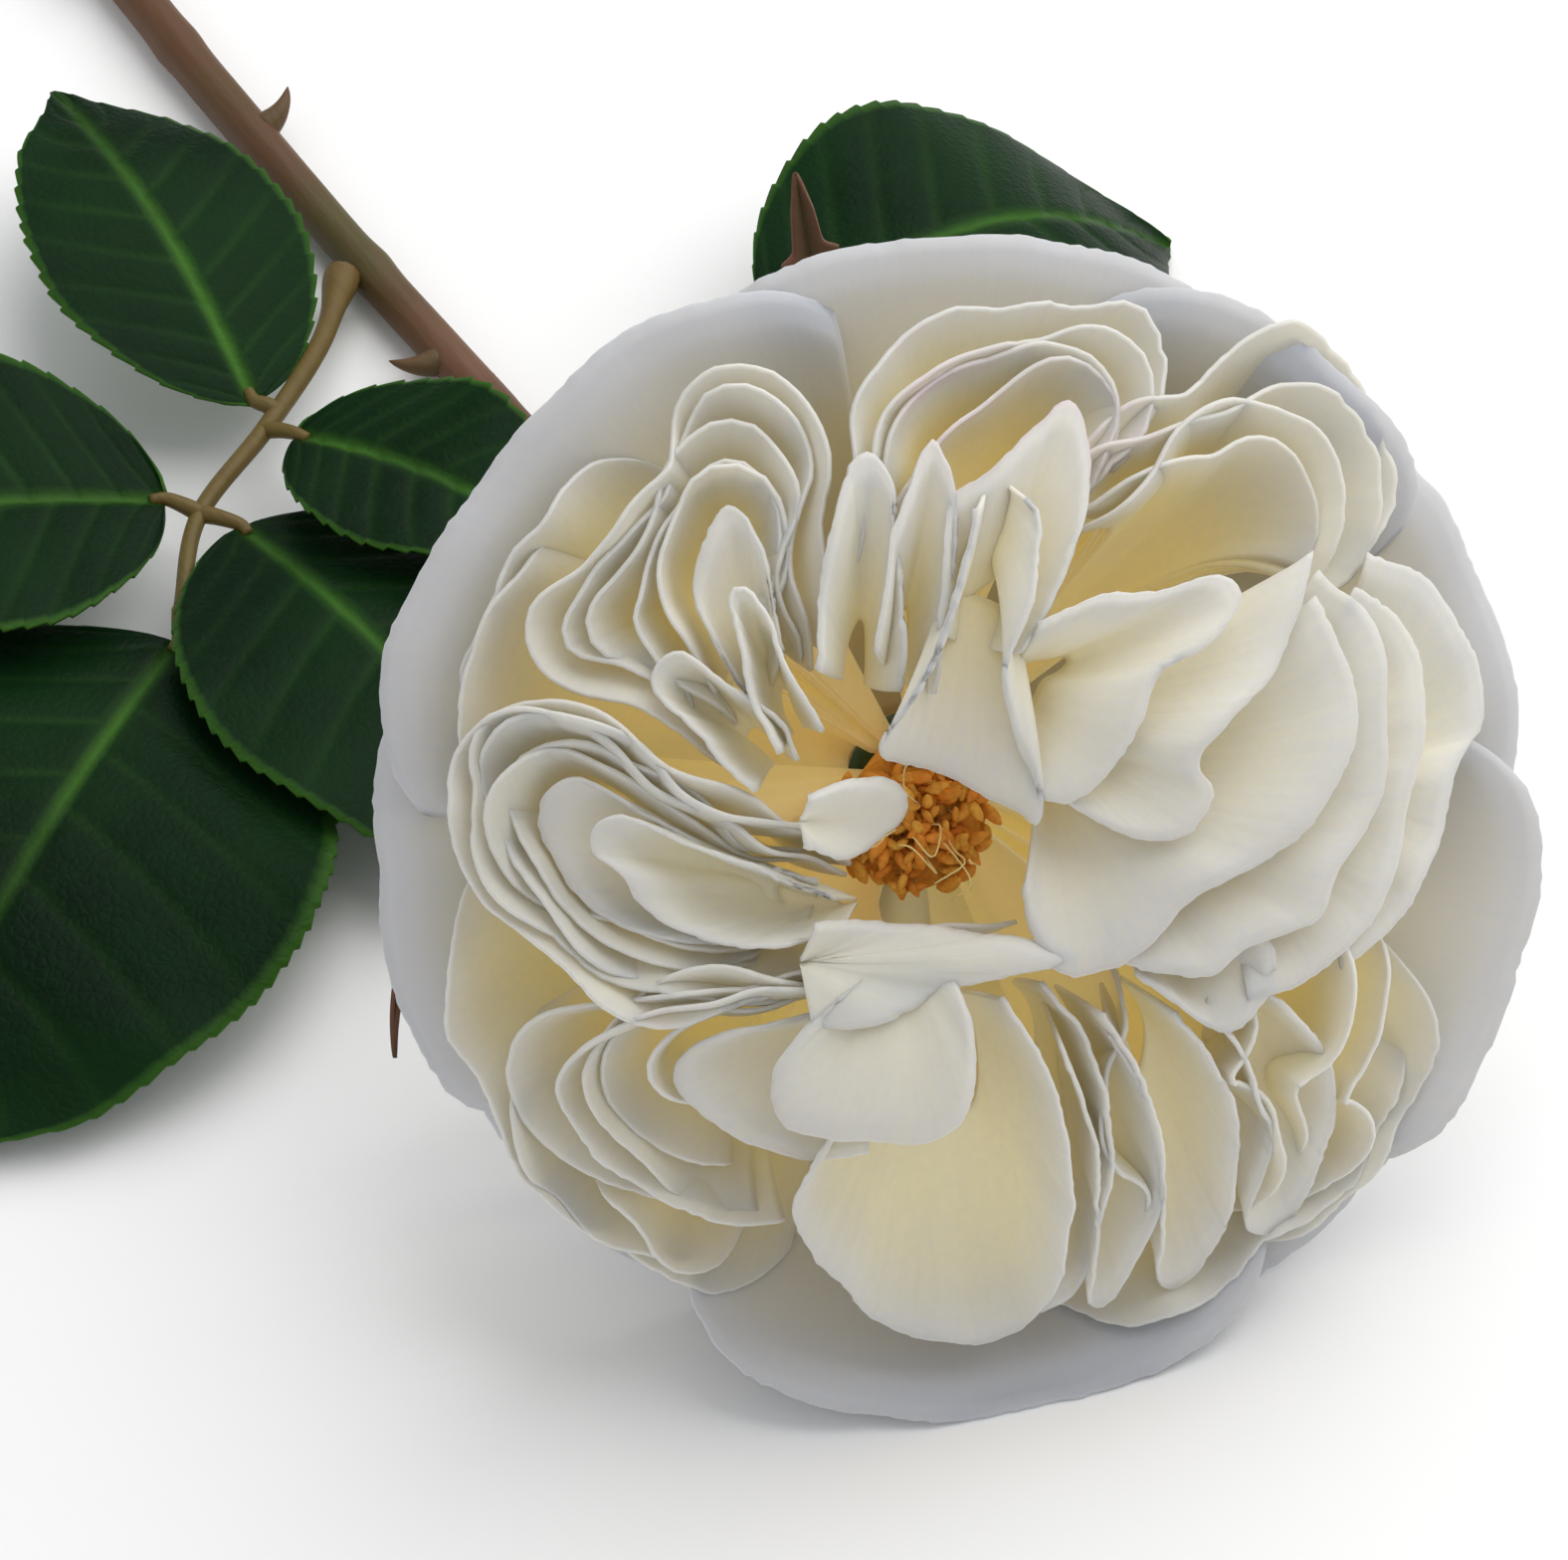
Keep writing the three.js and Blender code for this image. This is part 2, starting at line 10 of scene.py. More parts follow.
import bpy
import numpy as np
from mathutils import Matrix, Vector


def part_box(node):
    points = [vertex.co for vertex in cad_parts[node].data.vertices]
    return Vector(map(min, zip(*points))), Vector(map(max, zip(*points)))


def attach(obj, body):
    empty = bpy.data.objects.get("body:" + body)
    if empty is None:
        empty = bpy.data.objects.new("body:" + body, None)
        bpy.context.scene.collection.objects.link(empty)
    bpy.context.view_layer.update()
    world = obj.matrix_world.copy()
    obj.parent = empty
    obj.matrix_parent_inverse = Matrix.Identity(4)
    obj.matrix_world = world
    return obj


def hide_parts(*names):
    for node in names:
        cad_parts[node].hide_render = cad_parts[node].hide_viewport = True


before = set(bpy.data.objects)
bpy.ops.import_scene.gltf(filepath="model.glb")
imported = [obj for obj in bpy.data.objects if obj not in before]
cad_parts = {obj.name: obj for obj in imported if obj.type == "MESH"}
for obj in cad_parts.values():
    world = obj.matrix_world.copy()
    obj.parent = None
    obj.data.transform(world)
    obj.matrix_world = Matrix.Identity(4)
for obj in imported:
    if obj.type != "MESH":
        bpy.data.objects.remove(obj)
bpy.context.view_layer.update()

MM = 0.001
UP = np.array([0.0, 0.0, 1.0])

# ---- Sizes shared with the CAD part (millimetres and degrees) ----

ROSETTE_RADIUS = 52                 # the inner petals, without the guard petals
ROSETTE_HEIGHT = 40                 # hip top to the highest rims
EYE = np.array([-8.0, 4.0])         # the stamens' place in the plan
EYE_DEPTH = 9
EYE_SPREAD = 9
DOME_FLAT = 20                      # the dome falls away beyond this radius
DOME_FALL = 0.018
CUP_HEIGHT = 30                     # where the cup of the petals reaches its full radius
BASE_RADIUS = 6.5                   # the rosette where it meets the hip
GUARD_REACH = 56                    # a guard petal's rim from the flower's axis
GUARD_RISE = 22
GUARD_LAYER_GAP = 2.6               # between the layers of guard petals, at their rims
RIM_PLANE = 24                      # the middle of the guard petals' rims above the hip's top
HIP_RADIUS = 7.5
HIP_HEIGHT = 14
CLEARANCE = 0.35                    # between pieces that grow from one another
TABLE_GAP = 0.4                     # the lowest that a point of a piece may lie
BLOOM_ELEVATION = math.radians(35.1)
BLOOM_HEADING = math.radians(18.2)
BLOOM_ROLL = math.radians(10.9)
STEM_END = 238                      # the cut end's place along Y
STEM_RADIUS = 2.1                   # under the bloom
STEM_END_RADIUS = 2.7               # at the cut end
STEM_LANDING = 88                   # where the stem reaches the table
SEPAL_LENGTH = 52
STALK_RADIUS = 0.9

# ---- The bloom's frame ----


def unit(vector):
    return vector / np.linalg.norm(vector)


AXIS = np.array([
    -math.sin(BLOOM_HEADING) * math.cos(BLOOM_ELEVATION),
    -math.cos(BLOOM_HEADING) * math.cos(BLOOM_ELEVATION),
    math.sin(BLOOM_ELEVATION),
])
natural_up = unit(UP - AXIS * AXIS[2])
natural_right = np.cross(natural_up, AXIS)
PLAN_UP = natural_up * math.cos(BLOOM_ROLL) + natural_right * math.sin(BLOOM_ROLL)
PLAN_RIGHT = np.cross(PLAN_UP, AXIS)
HIP_TOP = UP * GUARD_REACH * math.cos(BLOOM_ELEVATION) - RIM_PLANE * AXIS

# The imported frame's origin is elsewhere, so the hip's own box says how far to move.
hip_low, hip_high = (np.array(corner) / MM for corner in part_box("hip"))
SHIFT = (hip_low + hip_high) / 2 - (HIP_TOP - AXIS * HIP_HEIGHT / 2)


def from_bloom(points):
    """Bloom-frame points to the design frame."""
    return HIP_TOP + points @ np.array([PLAN_RIGHT, PLAN_UP, AXIS])


def share(z):
    """How far the rosette has opened at a height: every fold narrows by it towards the hip."""
    below = np.maximum(0, 1 - z / CUP_HEIGHT)
    return 1 - (1 - BASE_RADIUS / ROSETTE_RADIUS) * below * below


def rim_height(x, y):
    """The dome that the rims reach, with a dip at the eye."""
    out = np.maximum(0, np.hypot(x, y) - DOME_FLAT)
    eye = np.hypot(x - EYE[0], y - EYE[1]) / EYE_SPREAD
    return ROSETTE_HEIGHT - DOME_FALL * out * out - EYE_DEPTH * np.exp(-eye * eye)


# ---- Curves and noise ----


def spline(points, count):
    """Points evenly spaced along a smooth curve through the given ones."""
    knots = np.array(points, float)
    padded = np.vstack([2 * knots[0] - knots[1], knots, 2 * knots[-1] - knots[-2]])
    dense = []
    t = np.linspace(0, 1, 24, endpoint=False)[:, None]
    for a, b, c, d in zip(padded, padded[1:], padded[2:], padded[3:]):
        dense.append(0.5 * (
            2 * b + (c - a) * t + (2 * a - 5 * b + 4 * c - d) * t**2 + (3 * b - a - 3 * c + d) * t**3
        ))
    dense = np.vstack([*dense, knots[-1:]])
    run = np.concatenate([[0], np.cumsum(np.linalg.norm(np.diff(dense, axis=0), axis=1))])
    even = np.linspace(0, run[-1], count)
    return np.stack([np.interp(even, run, dense[:, k]) for k in range(knots.shape[1])], axis=1)


def curve_length(points):
    return float(np.linalg.norm(np.diff(spline(points, 200), axis=0), axis=1).sum())


def waves(along, longest, shortest, rng):
    """Smooth noise of about -1 to 1 along a length, from sines between two wavelengths."""
    total = np.zeros_like(along, float)
    lengths = np.geomspace(longest, shortest, 5)
    for wavelength in lengths:
        wavelength *= rng.uniform(0.85, 1.15)
        total += np.sin(2 * np.pi * along / wavelength + rng.uniform(0, 2 * np.pi)) * wavelength
    return total / lengths.sum()


def smoothstep(low, high, value):
    t = np.clip((value - low) / (high - low), 0, 1)
    return t * t * (3 - 2 * t)


# ---- Meshes ----


class Shape:
    """Vertices, faces and one colour-like attribute, gathered from grids and tubes."""

    def __init__(self):
        self.points = []
        self.faces = []
        self.marks = []
        self.count = 0

    def grid(self, points, marks, closed=False):
        """points is rows x columns x 3. A closed grid joins its last column to its first."""
        rows, columns = points.shape[:2]
        index = self.count + np.arange(rows * columns).reshape(rows, columns)
        if closed:
            index = np.concatenate([index, index[:, :1]], axis=1)
        quads = np.stack([index[:-1, :-1], index[:-1, 1:], index[1:, 1:], index[1:, :-1]], axis=-1)
        self.faces.extend(quads.reshape(-1, 4).tolist())
        self.points.append(points.reshape(-1, 3))
        self.marks.append(np.broadcast_to(marks, (rows, columns, 3)).reshape(-1, 3))
        self.count += rows * columns
        return index

    def tube(self, path, radii, sides, marks):
        """A round rod along path, closed at both ends by fans to a middle point."""
        path = np.asarray(path, float)
        tangents = np.gradient(path, axis=0)
        tangents /= np.linalg.norm(tangents, axis=1)[:, None]
        side = np.cross(tangents, UP)
        upright = np.linalg.norm(side, axis=1) < 0.05
        side[upright] = np.cross(tangents[upright], [1.0, 0.0, 0.0])
        side /= np.linalg.norm(side, axis=1)[:, None]
        upward = np.cross(side, tangents)
        angle = np.linspace(0, 2 * np.pi, sides, endpoint=False)
        radii = np.asarray(radii, float)
        radii = np.broadcast_to(radii if radii.ndim == 2 else radii.reshape(-1, 1), (len(path), sides))
        across, above = np.cos(angle)[None, :, None], np.sin(angle)[None, :, None]
        ring = side[:, None] * across + upward[:, None] * above
        points = path[:, None] + ring * radii[:, :, None]
        index = self.grid(points, marks[:, None] if np.ndim(marks) == 2 else marks, closed=True)
        for row, centre, order in ((index[0], path[0], 1), (index[-1], path[-1], -1)):
            self.points.append(centre[None])
            mark = marks[0 if order == 1 else -1] if np.ndim(marks) == 2 else marks
            self.marks.append(np.broadcast_to(mark, (1, 3)))
            for a, b in zip(row[:-1], row[1:]):
                self.faces.append([int(b), int(a), self.count][::order])
            self.count += 1

    def build(self, name, materials, slot, nodes, thickness=0.0, offset=0.0):
        mesh = bpy.data.meshes.new(name)
        points = np.vstack(self.points) + SHIFT
        points[:, 2] = np.maximum(points[:, 2], TABLE_GAP)
        points *= MM
        mesh.from_pydata(points.tolist(), [], self.faces)
        mesh.update()
        marks = np.vstack(self.marks)
        attribute = mesh.attributes.new("marks", "FLOAT_COLOR", "POINT")
        attribute.data.foreach_set("color", np.c_[marks, np.ones(len(marks))].ravel())
        mesh.polygons.foreach_set("use_smooth", [True] * len(mesh.polygons))
        piece = bpy.data.objects.new(name, mesh)
        bpy.context.scene.collection.objects.link(piece)
        for one in materials:
            mesh.materials.append(one)
        if thickness:
            shell = piece.modifiers.new("thickness", "SOLIDIFY")
            shell.thickness = thickness * MM
            shell.offset = offset
            shell.material_offset = len(materials) - 1
        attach(piece, "root")
        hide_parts(*nodes)


def bloom_shape(points, marks, closed=False):
    """A shape of one grid, from points in the bloom's frame."""
    shape = Shape()
    shape.grid(from_bloom(points.reshape(-1, 3)).reshape(points.shape), marks, closed)
    return shape


# ---- Materials ----

PITH = 3.2                          # the mark of the cut end's middle, past any place along the stem


class Nodes:
    """A material with a Principled shader, and short calls to add nodes to it."""

    def __init__(self, name, **sockets):
        self.material = bpy.data.materials.new(name)
        self.material.use_nodes = True
        self.tree = self.material.node_tree
        self.shader = self.tree.nodes["Principled BSDF"]
        for socket, value in sockets.items():
            self.shader.inputs[socket.replace("_", " ")].default_value = value

    def add(self, kind, **inputs):
        node = self.tree.nodes.new(kind)
        for socket, value in inputs.items():
            self.feed(node.inputs[socket.replace("_", " ")], value)
        return node

    def feed(self, socket, value):
        if isinstance(value, bpy.types.NodeSocket):
            self.tree.links.new(value, socket)
        elif isinstance(value, tuple) and len(value) == 3 and socket.type == "RGBA":
            socket.default_value = (*value, 1)
        else:
            socket.default_value = value

    def marks(self):
        """The three channels of the mesh's marks."""
        node = self.add("ShaderNodeAttribute")
        node.attribute_name = "marks"
        split = self.add("ShaderNodeSeparateColor", Color=node.outputs["Color"])
        return [split.outputs[channel] for channel in ("Red", "Green", "Blue")]

    def math(self, operation, first, second=0.0):
        node = self.add("ShaderNodeMath")
        node.operation = operation
        self.feed(node.inputs[0], first)
        self.feed(node.inputs[1], second)
        return node.outputs[0]

    def mix(self, factor, first, second, blend="MIX"):
        node = self.tree.nodes.new("ShaderNodeMix")
        node.data_type = "RGBA"
        node.blend_type = blend
        self.feed(node.inputs[0], factor)
        self.feed(node.inputs[6], first)
        self.feed(node.inputs[7], second)
        return node.outputs[2]

    def ramp(self, value, *stops):
        """Maps value through (place, brightness) stops."""
        node = self.add("ShaderNodeValToRGB", Fac=value)
        elements = node.color_ramp.elements
        while len(elements) < len(stops):
            elements.new(0.5)
        for element, (place, level) in zip(elements, stops):
            element.position = place
            element.color = (level, level, level, 1)
        return node.outputs["Color"]

    def noise(self, scale, detail=3.0, vector=None):
        node = self.add("ShaderNodeTexNoise", Scale=scale, Detail=detail)
        place = vector or self.add("ShaderNodeTexCoord").outputs["Object"]
        self.tree.links.new(place, node.inputs["Vector"])
        return node.outputs["Fac"]

    def combine(self, x, y, z=0.0):
        return self.add("ShaderNodeCombineXYZ", X=x, Y=y, Z=z).outputs[0]

    def colour(self, value):
        self.feed(self.shader.inputs["Base Color"], value)

    def roughness(self, value):
        self.feed(self.shader.inputs["Roughness"], value)

    def bump(self, height, distance, strength=0.5):
        node = self.add("ShaderNodeBump", Height=height, Strength=strength, Distance=distance * MM)
        self.tree.links.new(node.outputs[0], self.shader.inputs["Normal"])


def petal_material(name, rim, cream, depth, streak, glow):
    """Petal tissue: marks are the place along the rim in millimetres over 100, the place from base
    to rim, and 1 at the bloom's surface falling to 0 at DEEP below it. From the rims to the depths the
    colour goes from rim through cream to depth: partly the petals' own yellow base, partly painted
    light, as the depth colour is brighter than the rims to offset the shade deep in the bloom. The
    faint glow of the depths is painted light as well: an emission that stands for the light that
    comes through the tissue round them."""
    nodes = Nodes(
        name,
        Subsurface_Weight=0.5,
        Subsurface_Radius=(1.0, 0.85, 0.6),
        Subsurface_Scale=3.0 * MM,
        Emission_Color=(1.0, 0.80, 0.36, 1.0),
        Specular_IOR_Level=0.25,
        Sheen_Weight=0.08,
        Sheen_Roughness=0.5,
    )
    along, out, height = nodes.marks()
    cloud = nodes.noise(90, 3)
    patchy = nodes.ramp(cloud, (0.2, 0.65), (0.8, 1.0))
    inner = nodes.ramp(out, (0.0, 1.0), (0.5, 0.8), (0.85, 0.25), (1.0, 0.0))
    tissue = nodes.mix(nodes.math("MULTIPLY", inner, patchy), rim, cream)
    # Painted light: the bright yellow depth colour comes in with depth, over the petals' own yellow base, to
    # offset the shade there.
    depth_tint_and_light = nodes.ramp(height, (0.0, 1.0), (0.5, 0.9), (0.8, 0.4), (0.97, 0.0))
    tissue = nodes.mix(nodes.math("MULTIPLY", depth_tint_and_light, patchy), tissue, depth)
    # Painted light: an emission in the depths, though the petal is no lamp.
    if glow:
        nodes.feed(nodes.shader.inputs["Emission Strength"], nodes.math("MULTIPLY", depth_tint_and_light, glow))
    stretched = nodes.combine(nodes.math("MULTIPLY", along, 130), nodes.math("MULTIPLY", out, 4))
    lines = nodes.noise(1.0, 4, stretched)
    tissue = nodes.mix(nodes.ramp(lines, (0.3, streak), (0.7, 0.0)), tissue, depth)
    weave = nodes.noise(900, 2)
    tissue = nodes.mix(nodes.ramp(weave, (0.3, 0.10), (0.7, 0.0)), tissue, (0.52, 0.51, 0.49))
    edge = nodes.ramp(out, (0.95, 0.0), (0.995, 0.5))
    blush = nodes.ramp(nodes.noise(38, 2), (0.60, 0.0), (0.72, 1.0))
    pink = nodes.math("MULTIPLY", blush, edge)
    nodes.colour(nodes.mix(pink, tissue, (0.64, 0.42, 0.48)))
    nodes.roughness(nodes.ramp(cloud, (0.2, 0.55), (0.8, 0.70)))
    nodes.bump(nodes.mix(0.45, lines, weave), 0.12, 0.4)
    return nodes.material


def leaf_material(name, dark, light, vein, gloss):
    """Leaf blade: marks are the vein strength, the place along the midrib and the distance from it."""
    nodes = Nodes(name, Specular_IOR_Level=0.05)
    veins, _, side = nodes.marks()
    patch = nodes.noise(45, 4)
    fine = nodes.noise(650, 3)
    blade = nodes.mix(nodes.ramp(patch, (0.35, 0.0), (0.7, 1.0)), dark, light)
    blade = nodes.mix(nodes.ramp(fine, (0.4, 0.0), (0.8, 0.35)), blade, light)
    blade = nodes.mix(nodes.math("MULTIPLY", veins, nodes.ramp(patch, (0.3, 0.3), (0.7, 0.85))), blade, vein)
    edge = nodes.ramp(side, (0.93, 0.0), (1.0, 0.5))
    nodes.colour(nodes.mix(edge, blade, vein))
    nodes.roughness(nodes.ramp(patch, (0.3, gloss), (0.75, gloss + 0.16)))
    cells = nodes.add("ShaderNodeTexVoronoi", Scale=900.0)
    cells.feature = "DISTANCE_TO_EDGE"
    nodes.tree.links.new(nodes.add("ShaderNodeTexCoord").outputs["Object"], cells.inputs["Vector"])
    netting = nodes.ramp(cells.outputs["Distance"], (0.0, 0.0), (0.25, 1.0))
    nodes.bump(nodes.mix(0.5, netting, fine), 0.12, 0.5)
    return nodes.material


def bark_material(name, base, olive, blush, roughness):
    """Stem skin: marks are the distance along in millimetres over 100, or PITH at the middle of the
    cut end, then the olive and the blush."""
    nodes = Nodes(name, Specular_IOR_Level=0.25)
    along, green, pink = nodes.marks()
    patch = nodes.noise(60, 4)
    skin = nodes.mix(nodes.math("MULTIPLY", green, nodes.ramp(patch, (0.3, 0.5), (0.7, 1.0))), base, olive)
    skin = nodes.mix(nodes.math("MULTIPLY", pink, nodes.ramp(patch, (0.3, 0.9), (0.7, 0.3))), skin, blush)
    cut = nodes.ramp(nodes.math("DIVIDE", along, PITH), (0.76, 0.0), (0.79, 1.0))
    skin = nodes.mix(cut, skin, (0.42, 0.40, 0.22))
    place = nodes.add("ShaderNodeTexCoord").outputs["Object"]
    stretched = nodes.add("ShaderNodeMapping", Scale=(1.0, 0.12, 1.0))
    nodes.tree.links.new(place, stretched.inputs["Vector"])
    grain = nodes.noise(1500, 3, stretched.outputs[0])
    nodes.colour(nodes.mix(nodes.ramp(grain, (0.45, 0.0), (0.75, 0.4)), skin, (0.10, 0.05, 0.03)))
    nodes.roughness(nodes.ramp(patch, (0.3, roughness - 0.08), (0.7, roughness + 0.1)))
    nodes.bump(grain, 0.2, 0.5)
    return nodes.material


def thread_material(name, low, high, speck):
    """Stamens: marks are the place along a thread, a tint and the anther's share."""
    nodes = Nodes(name, Roughness=0.65, Subsurface_Weight=0.2, Subsurface_Scale=1.0 * MM)
    along, tint, anther = nodes.marks()
    thread = nodes.mix(along, low, high)
    grain = nodes.noise(1800, 3)
    head = nodes.mix(tint, speck, (0.92, 0.50, 0.06))
    head = nodes.mix(nodes.ramp(grain, (0.4, 0.0), (0.7, 0.6)), head, (0.60, 0.20, 0.015))
    nodes.colour(nodes.mix(anther, thread, head))
    nodes.bump(grain, 0.3, 0.6)
    return nodes.material


# The depth colour is far brighter than the rims: partly the petals' yellow base, partly painted light
# offsetting the shade deep in the bloom. The glow is painted light.
PETAL = petal_material(
    "petal", rim=(0.66, 0.65, 0.625), cream=(0.78, 0.735, 0.60), depth=(0.97, 0.83, 0.36),
    streak=0.12, glow=0.10)
# The guard petals' tissue is a darker, bluer copy of the petals': painted shade on the outer petals. Its
# brighter yellow depth colour is partly painted light, and it has no glow.
SHADED_GUARD = petal_material(
    "guard petal", rim=(0.48, 0.495, 0.545), cream=(0.53, 0.535, 0.545), depth=(0.80, 0.73, 0.47),
    streak=0.04, glow=0.0)
LEAF = leaf_material(
    "leaf upper side", dark=(0.002, 0.011, 0.003), light=(0.005, 0.026, 0.006), vein=(0.07, 0.20, 0.025),
    gloss=0.32)
LEAF_BACK = leaf_material(
    "leaf under side", dark=(0.05, 0.11, 0.05), light=(0.08, 0.15, 0.07), vein=(0.16, 0.24, 0.11),
    gloss=0.55)
STEM_SKIN = bark_material(
    "stem skin", base=(0.105, 0.05, 0.022), olive=(0.075, 0.072, 0.02), blush=(0.19, 0.09, 0.055),
    roughness=0.5)
STALK_SKIN = bark_material(
    "leaf stalk skin", base=(0.14, 0.085, 0.018), olive=(0.10, 0.09, 0.018), blush=(0.17, 0.09, 0.03),
    roughness=0.45)
SEPAL_SKIN = bark_material(
    "sepal skin", base=(0.085, 0.045, 0.022), olive=(0.065, 0.062, 0.015), blush=(0.17, 0.065, 0.04),
    roughness=0.6)
HIP_SKIN = bark_material(
    "hip skin", base=(0.07, 0.11, 0.03), olive=(0.05, 0.10, 0.02), blush=(0.12, 0.07, 0.03),
    roughness=0.4)
STAMEN = thread_material(
    "stamens", low=(0.75, 0.40, 0.05), high=(0.88, 0.66, 0.26), speck=(0.86, 0.28, 0.015))

# ---- Petals ----

PETAL_THICKNESS = 0.42
PETAL_ROWS = 24
PLAN_WANDER = 1.4                   # how far a rim strays from its plan
RIM_WAVE = 1.1                      # how far it rises and falls
FRAY_WAVE = 0.10
FRAY_NOISE = 0.07
FUNNEL_DEPTH = 9                    # below the rim, where a fold has mostly closed on its focus
LAID_ROWS = 26
LAID_CURL = 0.8                     # how far the rim of a laid petal rolls back
DEEP = 22                           # below the bloom's surface, where the tissue is fully yellow and the painted light of the depths is strongest


def rim_normals(rim):
    """In the plan, across the rim and away from the inside of its fold."""
    tangent = np.gradient(rim, axis=0)
    normal = np.stack([tangent[:, 1], -tangent[:, 0]], axis=1)
    normal /= np.linalg.norm(normal, axis=1)[:, None]
    inside = rim.mean(axis=0) - rim
    if (normal * inside).sum() > 0:
        normal = -normal
    return normal


def petal_marks(along, out, depth):
    """along in millimetres, out from base to rim, depth in millimetres below the bloom's surface."""
    return np.stack(np.broadcast_arrays(along / 100, out, (1 - depth / DEEP).clip(0, 1)), axis=-1)


def folded_petal(plan, seed, flare=1.5, ruffle=0.8, shoulder=0.3, lift=0.0, focus=None, funnel=0.3):
    """A petal whose rim follows a curve of the plan and whose body narrows down to the hip, and
    towards its focus in the plan, if it has one."""
    rng = np.random.default_rng(seed)
    length = curve_length(plan)
    columns = max(30, int(length / 0.8))
    along = np.linspace(0, length, columns)
    rim = spline(plan, columns)
    rim = rim + rim_normals(rim) * PLAN_WANDER * waves(along, 34, 11, rng)[:, None]
    normal = rim_normals(rim)
    ends = np.abs(2 * along / length - 1)
    top = rim_height(rim[:, 0], rim[:, 1]) + lift
    height = top * (1 - shoulder * ends**4) + RIM_WAVE * waves(along, 26, 8, rng)
    fray = FRAY_WAVE * waves(along, 3.2, 1.7, rng) + FRAY_NOISE * rng.standard_normal(columns)
    out = 1 - np.linspace(1, 0, PETAL_ROWS) ** 1.5
    sway = waves(along, 30, 7, rng)
    lean = waves(along, 40, 14, rng)
    points = np.zeros((PETAL_ROWS, columns, 3))
    for row, v in enumerate(out):
        z = CLEARANCE + (height - CLEARANCE) * v + fray * v**12
        scale = share(z) / share(top)
        body = rim * scale[:, None]
        if focus is not None:
            closing = funnel * (1 - np.exp(-np.maximum(0, height - z) / FUNNEL_DEPTH))
            body = body + (focus * scale[:, None] - body) * closing[:, None]
        push = flare * (1 + 0.7 * lean) * v**4 + ruffle * sway * v**2
        points[row, :, :2] = body + normal * push[:, None]
        points[row, :, 2] = z - 0.5 * abs(flare) * v**8
    return bloom_shape(points, petal_marks(along, out[:, None], height - points[:, :, 2]))


def laid_petal(root, rim, seed, lift=0.0, drop=9.0, bulge=1.0, foot=0.3):
    """A petal that lies back, so that its face is seen. It runs from a small copy of its rim round
    its root, drop below the bloom's surface, out to the rim. bulge rounds it, or hollows it if below 0."""
    rng = np.random.default_rng(seed)
    columns = max(40, int(curve_length(rim) / 0.7))
    u = np.linspace(0, 1, columns)
    along = u * curve_length(rim)
    edge = spline(rim, columns)
    root = np.array(root, float)
    inner = root + (edge - root) * foot
    wander = 0.4 * waves(along, 18, 6, rng) + 0.06 * rng.standard_normal(columns)
    edge = edge + rim_normals(edge) * wander[:, None]
    high = rim_height(edge[:, 0], edge[:, 1]) + lift + 0.6 * waves(along, 24, 9, rng)
    low = rim_height(*root) + lift - drop
    out = np.linspace(0, 1, LAID_ROWS)
    rise = 0.6 if bulge > 0 else 1.2
    middle = np.sin(np.pi * u) ** 0.7
    folds = waves(along, 26, 10, rng)
    points = np.zeros((LAID_ROWS, columns, 3))
    for row, v in enumerate(out):
        points[row, :, :2] = inner + (edge - inner) * v
        points[row, :, 2] = low + (high - low) * v**rise + bulge * math.sin(math.pi * v) * middle
        points[row, :, 2] += 0.5 * folds * v**2 - LAID_CURL * smoothstep(0.84, 1, v) ** 2
    depth = rim_height(points[:, :, 0], points[:, :, 1]) + lift - points[:, :, 2]
    # Laid petals take only part of the yellow and the painted light of the depths.
    return bloom_shape(points, petal_marks(along, out[:, None], 0.55 * depth))


def nested(outer, inner, count):
    outer, inner = spline(outer, 20), spline(inner, 20)
    return [outer + (inner - outer) * k / (count - 1) for k in range(count)]


